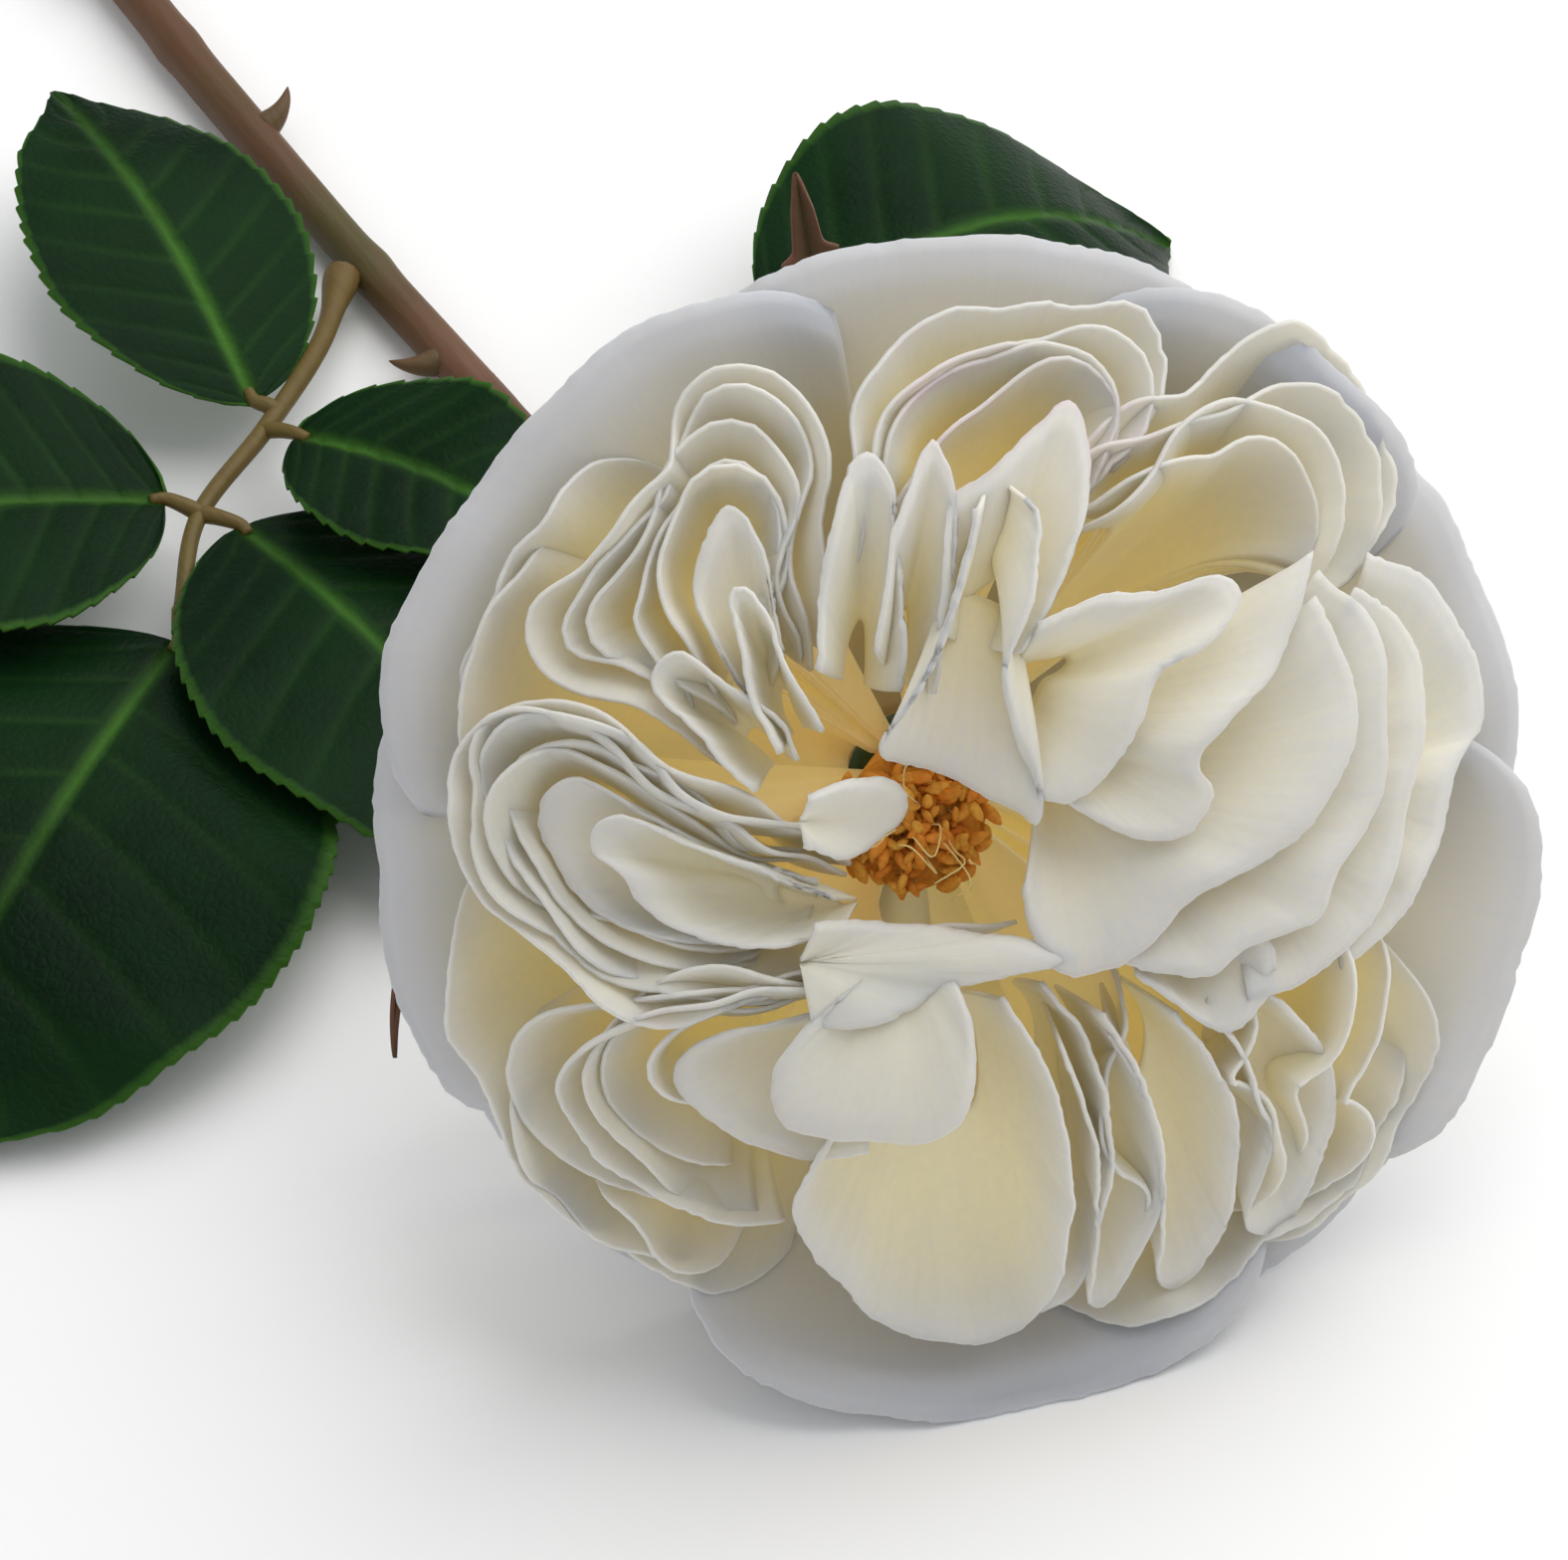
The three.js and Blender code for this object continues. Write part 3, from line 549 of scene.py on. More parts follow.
# Each family of folds: its plans, how many CAD petals it stands for, and how its petals lean.
FOLDS = {
    "left": dict(
        plans=nested(
            [[-8, -5], [-12, -2], [-18, 2], [-24, 5], [-31, 8.5], [-38, 11.5], [-45, 12.5], [-48, 10],
             [-48, 3], [-46, -3], [-42, -7], [-36, -10.5], [-28, -11.5], [-18, -9.5], [-9, -6]],
            [[-17, -4], [-24, 0], [-30, 3], [-36, 6], [-41, 7], [-42, 3], [-40, -1], [-36, -4.5], [-30, -6.5],
             [-24, -6.5], [-18, -5.5]],
            5),
        nodes=3, flare=2.4, ruffle=0.7, funnel=0.5),
    "upper_left": dict(
        plans=nested(
            [[-21, 10], [-27, 13], [-35, 17], [-43, 19], [-39, 25], [-34, 30], [-30, 35], [-29, 41],
             [-24, 43], [-20, 40], [-19, 34], [-20, 27], [-20, 19], [-19, 13]],
            [[-24, 15], [-27, 19], [-30, 24], [-29, 29], [-27, 33], [-25, 34], [-24, 30], [-24, 24],
             [-23, 18]],
            5),
        nodes=3, flare=1.8, ruffle=0.8, funnel=0.4),
    "top": dict(
        plans=nested(
            [[-15, 20], [-15, 30], [-13, 38], [-11, 43], [-7, 47], [-1, 49], [6, 49.5], [12, 50], [15, 48],
             [14, 43], [11, 39], [8, 34]],
            [[-9, 26], [-9, 33], [-7, 38], [-3, 41], [1, 43], [5, 43], [7, 40], [6, 35], [3, 29]],
            4),
        nodes=3, flare=2.2, ruffle=1.0, funnel=0.45),
    "upper_right": dict(
        plans=nested(
            [[6, 30], [9, 36], [13, 40], [19, 43], [26, 44.5], [32, 43], [37, 39], [39, 33], [36, 29],
             [31, 26]],
            [[8, 28], [13, 33], [18, 36], [24, 37], [28, 34], [29, 30], [26, 27]],
            4),
        nodes=3, flare=2.4, ruffle=1.1, funnel=0.6),
    "lower_right": dict(
        plans=[
            [[36, -8], [39, -14], [38, -21], [35, -25], [38, -31], [36, -35], [31, -40]],
            [[26, -6], [30, -10], [31, -16], [28, -21], [31, -28], [33, -37]],
            [[20, -9], [23, -14], [21, -20], [25, -26], [28, -33], [27, -43]],
            [[12, -7], [14, -12], [14, -17], [11, -21], [12, -26], [16, -31], [18, -37], [19, -46]],
        ],
        nodes=4, flare=2.2, ruffle=1.4, funnel=0),
    "lower_left": dict(
        plans=nested(
            [[7, -7], [-3, -7], [-12, -9.5], [-21, -12], [-31, -13], [-38, -16], [-41, -22], [-38, -29],
             [-31, -33], [-22, -35], [-13, -34]],
            [[-13, -13], [-19, -14], [-25, -15.5], [-29, -18], [-30, -21], [-26, -24], [-20, -26]],
            5),
        nodes=3, flare=2.2, ruffle=0.8, funnel=0.5),
}

# The petals that lie back and show their faces: the CAD petal each stands for, its root, its rim,
# and its form.
LAID_PETALS = [
    ("petal_right_6", [29, 6],
     [[36, 28], [43, 25], [48, 18], [50, 11], [46, 7], [44, 0], [40, -6], [34, -10]], dict(lift=-1, drop=12)),
    ("petal_right_5", [20, 7],
     [[34, 26], [40, 21], [42, 14], [40, 6], [39, 0], [36, -6], [30, -10], [24, -12]],
     dict(lift=-0.2, drop=12)),
    ("petal_right_4", [9, 5],
     [[30, 28], [36, 22], [37, 15], [37, 9], [35, 4], [32, 0], [30, -4], [24, -6], [20, -9], [15, -8.5],
      [9, -7]],
     dict(lift=0.6, drop=12, foot=0.2)),
    ("petal_right_1", [12, -4],
     [[25, -5], [26.5, -8], [26, -11.5], [22, -15], [17, -12], [13, -9]], dict(lift=-0.7, drop=8)),
    ("petal_right_3", [4, 8],
     [[29, 26], [33, 18], [32, 10], [27, 4], [18, -1], [13, -6], [7, -9], [3, -6], [1.5, -1]],
     dict(lift=1.5, drop=9, foot=0.12)),
    ("petal_right_2", [2, 14],
     [[29, 30], [25, 21], [19, 15], [17, 12], [18.5, 9], [16.5, 5.5], [12, 4.5], [8, 6], [3, 9]],
     dict(lift=2.3, drop=9, foot=0.2)),
    ("petal_beside_eye", [-1, 17],
     [[1, 25], [6, 27], [12, 28], [18, 29], [20.5, 27], [18, 23.5], [13, 20.5], [11, 16], [9, 12],
      [5, 8.5], [1.5, 8.5]],
     dict(lift=3.1, drop=7)),
    ("petal_top_3", [-4, 21],
     [[-8, 24], [-7, 34], [-3, 38], [2, 41.5], [5.5, 43.5], [7, 39], [6, 34], [3, 28], [0, 22]],
     dict(lift=1.6, drop=7)),
    ("petal_over_eye", [-2, 37],
     [[-5, 35], [-7, 27], [-10, 19], [-13, 12.5], [-7, 10], [-1, 7.5], [2.5, 5.5], [2, 9], [-1, 15], [-2, 20],
      [0, 27], [1, 34], [0, 36]],
     dict(lift=3.6, drop=4, bulge=1.2, foot=0.4)),
    ("petal_bottom_2", [4, -14],
     [[4, -10], [9, -16], [12, -26], [12.5, -36], [12, -43], [9, -46]],
     dict(lift=-1.2, drop=12, bulge=-2)),
    ("petal_bottom_1", [-3, -14],
     [[-15, -24], [-17.5, -32], [-15, -38], [-10, -43.5], [-5, -47.5], [1, -49], [7, -48], [9, -43], [9, -36],
      [8, -30], [7, -24], [4, -17], [0, -11]],
     dict(lift=0.6, drop=11, bulge=-2.2)),
    ("petal_front_cup", [-9, -6],
     [[-16, -11], [-19.5, -14.5], [-21.5, -19], [-19.5, -23.5], [-12, -24.5], [-7, -25], [-3.5, -22.5],
      [-2.8, -17], [-3.5, -12], [-4.5, -8]],
     dict(lift=2.0, drop=3.5, bulge=1.4, foot=0.05)),
    ("petal_lower_left_1", [-19, -8],
     [[-18, -4], [-10, -4.5], [-3, -5], [7, -7], [1, -8.6], [-6, -10.5], [-12, -13], [-18, -14]],
     dict(lift=1.4, drop=3, bulge=0.8, foot=0.05)),
    ("petal_left_2", [-16, -4],
     [[-17, -1], [-26, 1.5], [-33, 4.5], [-39, 7.5], [-42, 5], [-41, 0], [-37, -5], [-30, -7], [-18, -6.5]],
     dict(lift=-3.0, drop=4, bulge=-1, foot=0.15)),
    ("petal_left_3", [-12, -4],
     [[-16, -2.5], [-23, 0.5], [-30, 3], [-36, 4.5], [-38, 1.5], [-35, -1], [-33, -4], [-26, -6.5],
      [-15, -6]],
     dict(lift=-1.4, drop=4, bulge=-1.6, foot=0.1)),
    ("petal_lower_left_3", [-12, -15],
     [[-16, -13], [-23, -14.5], [-28, -17.5], [-29, -21.5], [-24, -25.5], [-17, -28], [-11, -27]],
     dict(lift=-1.6, drop=5, bulge=-1, foot=0.15)),
    ("petal_upper_left_3", [-21.5, 15],
     [[-24, 16], [-28, 22], [-29, 27], [-27, 32], [-25, 33], [-23, 29], [-21.5, 21]],
     dict(lift=-2.0, drop=6, bulge=-1, foot=0.15)),
    ("petaloid", [-20.5, 6.5],
     [[-20, 9], [-15, 10.2], [-10.8, 8.7], [-9.3, 6], [-10.8, 3.5], [-15, 2.2], [-20, 4]],
     dict(lift=4.5, drop=1.2, bulge=0.9, foot=0.02)),
    ("petal_top_1", [-13, 16],
     [[-19, 20], [-18, 30], [-15, 38], [-12, 37], [-11, 26], [-11, 18]], dict(lift=0.4, drop=9)),
    ("petal_top_2", [-10, 17],
     [[-14, 22], [-12, 32], [-8, 40], [-6, 37], [-7, 28], [-8, 18]], dict(lift=1.2, drop=9)),
    ("petal_left_3", [-19, 9],
     [[-24, 8], [-29, 13], [-33, 17], [-31, 20], [-27, 18], [-22, 15], [-20, 11]],
     dict(lift=-0.8, drop=8, bulge=-1)),
    ("petal_upper_left_2", [-18, 12],
     [[-22, 12], [-25, 18], [-26, 26], [-23, 24], [-21, 19], [-18, 14]],
     dict(lift=0.2, drop=8, bulge=-1)),
    ("petal_lower_right_4", [6, -12],
     [[10, -13], [15, -21], [18, -31], [17, -42], [14, -45], [12, -35], [10, -25], [6, -16]],
     dict(lift=-0.5, drop=9, bulge=-1)),
    ("petal_lower_right_3", [12, -11],
     [[17, -13], [23, -21], [26, -31], [25, -42], [21, -44], [18, -31], [15, -22], [11, -15]],
     dict(lift=-0.8, drop=9, bulge=-1)),
    ("petal_lower_right_1", [19, -9],
     [[26, -11], [33, -18], [36, -27], [34, -38], [29, -38], [29, -28], [25, -19], [20, -12]],
     dict(lift=-0.8, drop=9, bulge=-1)),
]

# The petals that close the rosette round its edge: arcs in degrees, and looser rims inside them.
CUP_ARCS = [[184, 252], [276, 340], [131, 168]]
EDGE_PETALS = [
    ("petal_cup_1", [[-43, -20], [-41, -28], [-35, -35], [-28, -40], [-21, -46]]),
    ("petal_cup_1", [[-37, -32], [-31, -36], [-26, -40], [-20, -43]]),
    ("petal_cup_2", [[45, -12], [45, -22], [41, -30], [36, -38], [28, -44]]),
    ("petal_cup_3", [[-49, 5], [-47, 15], [-45, 22], [-40, 30]]),
]
CUP_RADIUS = 51


def arc_plan(start, end, radius):
    angles = np.radians(np.linspace(start, end, 7))
    return np.stack([radius * np.cos(angles), radius * np.sin(angles)], axis=1)


def varied(plan, rng):
    """plan with its ends cut back a little and moved aside, as no two petals grow alike."""
    points = spline(plan, 60)
    start, stop = rng.integers(0, 5), 60 - rng.integers(0, 5)
    return points[start:stop:4] + rng.uniform(-0.7, 0.7, 2)


def make_rosette():
    """The families of folds, the laid petals, the edge petals and the cup."""
    for family, (place, form) in enumerate(FOLDS.items()):
        plans = form["plans"]
        focus = np.mean(plans[-1], axis=0) if form["funnel"] else None
        rng = np.random.default_rng(family)
        for k, plan in enumerate(plans):
            shape = folded_petal(
                varied(plan, rng), 100 * family + k, form["flare"] * rng.uniform(0.6, 1.3), form["ruffle"],
                shoulder=0.14, lift=rng.uniform(-1.2, 0.4) - 0.5 * k, focus=focus, funnel=form["funnel"])
            node = 1 + round(k * (form["nodes"] - 1) / (len(plans) - 1))
            shape.build(
                f"rosette_{place}_{k + 1}", [PETAL], "inner_petal",
                [f"petal_{place}_{node}"], PETAL_THICKNESS)
    for k, (node, root, rim, form) in enumerate(LAID_PETALS):
        shape = laid_petal(root, rim, 900 + k, **form)
        shape.build(f"laid_{k + 1}_{node}", [PETAL], "inner_petal", [node], PETAL_THICKNESS)
    for k, (node, plan) in enumerate(EDGE_PETALS):
        shape = folded_petal(plan, 970 + k, 1.8, 1.0)
        shape.build(f"edge_{k + 1}_of_{node}", [PETAL], "inner_petal", [node], PETAL_THICKNESS)
    for k, arc in enumerate(CUP_ARCS):
        shape = folded_petal(arc_plan(*arc, CUP_RADIUS), 950 + k, 1.0, 0.8)
        shape.build(f"rosette_cup_{k + 1}", [PETAL], "inner_petal", [f"petal_cup_{k + 1}"], PETAL_THICKNESS)


# Guard petals: their layer, the degrees of the plan that they span, how far they reach beyond
# GUARD_REACH, and how far their rims curl back.
GUARD_PETALS = [
    dict(layer=0, span=(110, 176), extra=2, curl=3),
    dict(layer=1, span=(166, 216), extra=-1, curl=5),
    dict(layer=2, span=(208, 258), extra=-3, curl=5),
    dict(layer=0, span=(244, 306), extra=1, curl=-3),
    dict(layer=1, span=(294, 336), extra=0, curl=1),
    dict(layer=0, span=(322, 366), extra=1, curl=0),
    dict(layer=1, span=(354, 404), extra=0, curl=4),
    dict(layer=0, span=(36, 74), extra=0, curl=3),
    dict(layer=1, span=(62, 122), extra=0, curl=3),
]
GUARD_THICKNESS = 0.45
GUARD_ROWS = 34
GUARD_WAVE = 1.2                    # how far its outer half rises and falls
GUARD_ROLL = 1.4                    # how far its rim rolls back
GUARD_CORNER = 0.13                 # how much shorter it is at its sides, as a share of its reach
GUARD_BASE_GAP = 0.5                # between the layers at their roots
GUARD_OVERLAP = 4                   # degrees that each guard petal goes past the CAD one's sides


def guard_petal(seed, layer, span, extra, curl):
    """A broad outer petal that rises from the hip, with its rim curled back."""
    rng = np.random.default_rng(seed)
    root = BASE_RADIUS + CLEARANCE + 0.2
    rise = GUARD_RISE - GUARD_LAYER_GAP * layer
    columns = int((span[1] - span[0]) * 1.25)
    u = np.linspace(0, 1, columns)
    v = np.linspace(0, 1, GUARD_ROWS)[:, None]
    angle = np.radians(span[0] - GUARD_OVERLAP + (span[1] - span[0] + 2 * GUARD_OVERLAP) * u)
    along = np.radians(span[1] - span[0]) * GUARD_REACH * u
    edge = np.abs(2 * u - 1) ** 5
    reach = (GUARD_REACH + extra) * (1 - GUARD_CORNER * edge)
    reach = reach + 0.6 * waves(along, 30, 9, rng) + 0.08 * rng.standard_normal(columns) * (v > 0.97)
    radius = root + (reach - root) * v
    out = (radius - root) / (GUARD_REACH - root)
    late = np.maximum(0, v - 0.7) / 0.3
    z = rise * out**1.35 - GUARD_BASE_GAP * (layer + 1) - curl * late * late
    z = z + GUARD_WAVE * waves(along, 38, 14, rng) * smoothstep(0.45, 1, v)
    z = z - GUARD_ROLL * smoothstep(0.9, 1, v) ** 2
    points = np.stack([radius * np.cos(angle), radius * np.sin(angle), z], axis=-1)
    # The third mark brings in the yellow depth colour towards the roots, partly painted light.
    marks = np.stack(np.broadcast_arrays(along / 100, 0.9 * v, 0.3 + 0.7 * v), axis=-1)
    return bloom_shape(points, marks)


def make_guard_petals():
    for k, form in enumerate(GUARD_PETALS):
        shape = guard_petal(1000 + k, **form)
        shape.build(f"outer_petal_{k + 1}", [SHADED_GUARD], "guard_petal", [f"guard_petal_{k + 1}"], GUARD_THICKNESS)


# ---- The eye ----

THREADS = 220
THREAD_RADIUS = 0.13
LOOSE_THREADS = 7
LOOSE_RADIUS = 0.09
TUFT_LEAN = np.array([1.5, -1.5])   # the heads' place beside the eye
TUFT_SPREAD = np.array([7.5, 6.5])


def make_stamens():
    rng = np.random.default_rng(7)
    shape = Shape()
    column = np.linspace(0, 1, 12)[:, None]
    axis_line = np.array([0, 0, CLEARANCE]) + column * np.array([*(EYE + TUFT_LEAN), 26.0])
    shape.tube(from_bloom(axis_line), 5 + 1.5 * column[:, 0], 24, np.array([1.0, 0.4, 1.0]))
    for _ in range(THREADS):
        angle = rng.uniform(0, 2 * np.pi)
        spread = math.sqrt(rng.uniform(0, 1))
        foot = EYE * share(10.0) + 2 * spread * np.array([math.cos(angle), math.sin(angle)])
        head = EYE + TUFT_LEAN + spread * (TUFT_SPREAD * np.array([math.cos(angle), math.sin(angle)]))
        height = rng.uniform(28, 32) - 3 * spread
        path = spline([[*foot, 10], [*(0.5 * (foot + head)), 0.6 * height + 4], [*head, height]], 7)
        marks = np.c_[np.linspace(0, 1, 7), np.full(7, rng.uniform()), np.zeros(7)]
        shape.tube(from_bloom(path), THREAD_RADIUS, 5, marks)
        lean = unit(np.array([*rng.uniform(-1, 1, 2), rng.uniform(0.1, 0.7)]))
        size = rng.uniform(0.8, 1.5)
        anther = path[-1] + lean * np.linspace(-size, size, 6)[:, None]
        girth = size * np.array([0.12, 0.38, 0.46, 0.44, 0.34, 0.1])
        shape.tube(from_bloom(anther), girth, 7, np.array([1.0, rng.uniform(), 1.0]))
    for _ in range(LOOSE_THREADS):
        start = EYE + TUFT_LEAN + rng.uniform(-3, 3, 2)
        path = [[*start, 29.0]]
        for height in (32, 34, 33):
            start = start + rng.uniform(-3, 3, 2)
            path.append([*start, height])
        marks = np.c_[np.ones(20), np.ones(20), np.zeros(20)]
        shape.tube(from_bloom(spline(path, 20)), LOOSE_RADIUS, 5, marks)
    shape.build("stamen_tuft", [STAMEN], "stamens", ["stamens"])


# ---- Hip and sepals ----


def make_hip():
    rows, sides, fullness = 40, 48, 3
    height = -np.cos(np.pi * np.arange(rows + 1) / rows)
    radius = HIP_RADIUS * np.maximum(0, 1 - np.abs(height) ** fullness) ** (1 / fullness)
    radius[[0, -1]] = 0.02
    angle = np.linspace(0, 2 * np.pi, sides, endpoint=False)
    ribs = 1 + 0.012 * np.cos(5 * angle) + 0.006 * np.cos(11 * angle + 1)
    ring = radius[:, None] * ribs
    z = np.broadcast_to(HIP_HEIGHT / 2 * (height[:, None] - 1), ring.shape)
    points = np.stack([ring * np.cos(angle), ring * np.sin(angle), z], axis=-1)
    marks = np.zeros((rows + 1, sides, 3))
    marks[:, :, 1] = 0.5 + 0.5 * height[:, None]
    marks[:, :, 2] = 0.4 - 0.4 * height[:, None]
    shape = bloom_shape(points, marks, closed=True)
    shape.build("rose_hip", [HIP_SKIN], "hip", ["hip"])


# Sepals: the direction they leave the hip in, how far and how late they turn aside, the rise of
# their tips, their length as a share of SEPAL_LENGTH, and their width.
SEPALS = [
    dict(angle=105, turn=0, bend=2, tip=8, reach=1.04, width=8.5),
    dict(angle=190, turn=20, bend=6, tip=0, reach=0.945, width=8.5),
    dict(angle=238, turn=-26, bend=2, tip=0, reach=0.86, width=8),
    dict(angle=321, turn=16, bend=2, tip=2, reach=0.85, width=7),
    dict(angle=33, turn=4, bend=2, tip=-4, reach=0.85, width=7),
]
SEPAL_THICKNESS = 0.5
LOBE_LENGTH = 1.3


def make_sepals():
    for k, form in enumerate(SEPALS):
        rng = np.random.default_rng(40 + k)
        v = np.linspace(0, 1, 220)[:, None]
        u = np.linspace(-1, 1, 13)
        bend = np.radians(form["angle"] + form["turn"] * v ** form["bend"])
        radius = HIP_RADIUS + CLEARANCE + SEPAL_LENGTH * form["reach"] * v
        z = -3.4 - 3 * np.sin(np.pi * np.minimum(1, 1.6 * v)) + form["tip"] * v * v
        half = form["width"] / 2 * (1 - 0.85 * v**1.8) * np.minimum(1, 14 * (1 - v)) ** 0.5
        lobes = np.zeros_like(v * u)
        for side in (-1, 1):
            for place in rng.uniform(0.3, 0.85, 3):
                spike = np.exp(-(((v - place - 0.03 * np.abs(u)) / 0.010) ** 2))
                lobes += side * LOBE_LENGTH * spike * np.maximum(0, side * u) ** 2
        off = u * half + lobes
        curl = 0.3 * np.abs(off) + 0.25 * waves(50 * v, 18, 6, rng)
        points = np.stack([
            radius * np.cos(bend) - off * np.sin(bend),
            radius * np.sin(bend) + off * np.cos(bend),
            z + curl - 0.35 * np.exp(-((off / 0.5) ** 2)),
        ], axis=-1)
        marks = np.stack(np.broadcast_arrays(v, 1 - 0.5 * v, np.abs(u) ** 2 + 0 * v), axis=-1).clip(0, 1)
        shape = bloom_shape(points, marks)
        shape.build(f"calyx_{k + 1}", [SEPAL_SKIN], "sepal", [f"sepal_{k + 1}"], SEPAL_THICKNESS)


# ---- Stem ----

STEM_START = HIP_TOP - AXIS * (HIP_HEIGHT + CLEARANCE)
STEM_TOWARDS = STEM_START - AXIS * 9.5


def girth_mix(t):
    return STEM_RADIUS + (STEM_END_RADIUS - STEM_RADIUS) * t


STEM_PATH = [
    STEM_START,
    STEM_TOWARDS,
    [13.5, 51, 0.46 * STEM_TOWARDS[2] + 2],
    [12.5, 68, STEM_RADIUS + 2.2],
    [10.7, STEM_LANDING, STEM_RADIUS],
    [9.6, 108, girth_mix(0.2)],
    [8.5, 128, girth_mix(0.3)],
    [7.8, 152, girth_mix(0.5)],
    [7.7, 176, girth_mix(0.65)],
    [9, STEM_END, girth_mix(1)],
]
STEM_STEPS = 420
stem_line = spline(STEM_PATH, STEM_STEPS)
stem_girth = girth_mix(np.linspace(0, 1, STEM_STEPS))

# Prickles: their place along Y, and the side they stand out at, in degrees up from +X.
PRICKLES = [(152, 25), (114, 172), (186, 140), (214, 55), (74, 60)]
PRICKLE_LENGTH = 4.4
PRICKLE_RADIUS = 1.6
PRICKLE_SUNK = 0.7                  # its foot inside the stem
PRICKLE_HOOK = 2.2                  # how far its tip bends towards the cut end
# Swellings where leaves stand or stood: their place along Y, and their share of the stem's radius.
LEAF_NODES = [(129, 0.10), (92, 0.09), (168, 0.07), (206, 0.08)]
NODE_LENGTH = 2.2


def stem_at(y):
    k = int(np.argmin(np.abs(stem_line[:, 1] - y)))
    return stem_line[k], stem_girth[k]


def make_stem():
    rng = np.random.default_rng(21)
    sides = 28
    along = stem_line[:, 1]
    girth = stem_girth * (0.97 + 0.02 * waves(along, 40, 9, rng))
    for place, swell in LEAF_NODES:
        girth = girth + stem_girth * swell * np.exp(-(((along - place) / NODE_LENGTH) ** 2))
    olive = smoothstep(0.1, 0.8, waves(along, 90, 20, rng) + 0.2)
    blush = smoothstep(0.0, 0.9, waves(along, 70, 16, rng))
    marks = np.stack([along / 100, olive, blush], axis=1)
    shape = Shape()
    wobble = 1 + 0.012 * rng.standard_normal((STEM_STEPS, sides)).cumsum(axis=0).clip(-1.5, 1.5)
    shape.tube(stem_line, girth[:, None] * wobble, sides, marks)
    shape.marks[-1] = np.array([[PITH, 0, 0]])
    for y, side in PRICKLES:
        centre, radius = stem_at(y)
        out = np.array([math.cos(math.radians(side)), 0, math.sin(math.radians(side))])
        steps = np.linspace(0, 1, 12)[:, None]
        hook = np.array([0, PRICKLE_HOOK, 0]) * steps**2.5
        path = centre + out * (radius - PRICKLE_SUNK + PRICKLE_LENGTH * steps) + hook
        girths = PRICKLE_RADIUS * (1 - steps[:, 0]) ** 0.75 + 0.05
        tone = np.c_[np.full(12, y / 100), 0.9 - 0.7 * steps[:, 0], 0.2 + 0.5 * steps[:, 0]]
        shape.tube(path, girths, 10, tone)
    shape.build("rose_stem", [STEM_SKIN], "stem", ["stem"])


# ---- Leaves ----


def stalk_start(y, side, rise):
    centre, radius = stem_at(y)
    out = unit(np.array([side, 0, rise]))
    return centre + out * (radius + STALK_RADIUS + CLEARANCE)


LEAF_1_STALK = [
    stalk_start(129, -1, 0.35),
    [-3, 119.5, 6],
    [-13.8, 111.8, 6.8],
    [-25.6, 105.2, 6.4],
    [-33.2, 95.5, 6],
]
LEAF_2_STALK = [stalk_start(92, 1, 0.6), [22, 91.5, 9], [32, 90.5, 14]]
LEAFLETS = {
    "leaf_1_leaflet_1": dict(
        base=[-13.2, 115.2, 7.4], tip=[-10.5, 162, 11], width=29, arch=4, fold=-0.05, bank=8),
    "leaf_1_leaflet_2": dict(
        base=[-27.8, 108.2, 7.6], tip=[-70, 124.5, 9], width=39, arch=3, fold=0.1, bank=0),
    "leaf_1_leaflet_3": dict(
        base=[-22.6, 101.8, 6.6], tip=[-18, 44, 4], width=40, arch=5, fold=-0.05, bank=-5),
    "leaf_1_leaflet_4": dict(
        base=[-12.2, 108.4, 8.2], tip=[3, 77, 10], width=24, arch=3, fold=0.1, bank=0),
    "leaf_1_leaflet_5": dict(
        base=[-35.2, 92.6, 5.4], tip=[-94, 52, -0.3], width=59, arch=6, fold=0, bank=0),
    "leaf_2_leaflet": dict(
        base=[34, 90.2, 14.8], tip=[83, 89, 0], width=42, arch=9, fold=-0.05, bank=0),
}
LEAFLET_THICKNESS = 0.35
LEAF_ROWS = 190
LEAF_COLUMNS = 45
SIDE_VEINS = 9
SIDE_VEIN_WIDTH = 0.55
SIDE_VEIN_STRENGTH = 0.13
MIDRIB_WIDTH = 0.75
TOOTH_SPACING = 2.4
TOOTH_DEPTH = 0.55


def turned(vector, axis, angle):
    """vector turned about a unit axis."""
    return (
        vector * math.cos(angle)
        + np.cross(axis, vector) * math.sin(angle)
        + axis * (axis @ vector) * (1 - math.cos(angle))
    )


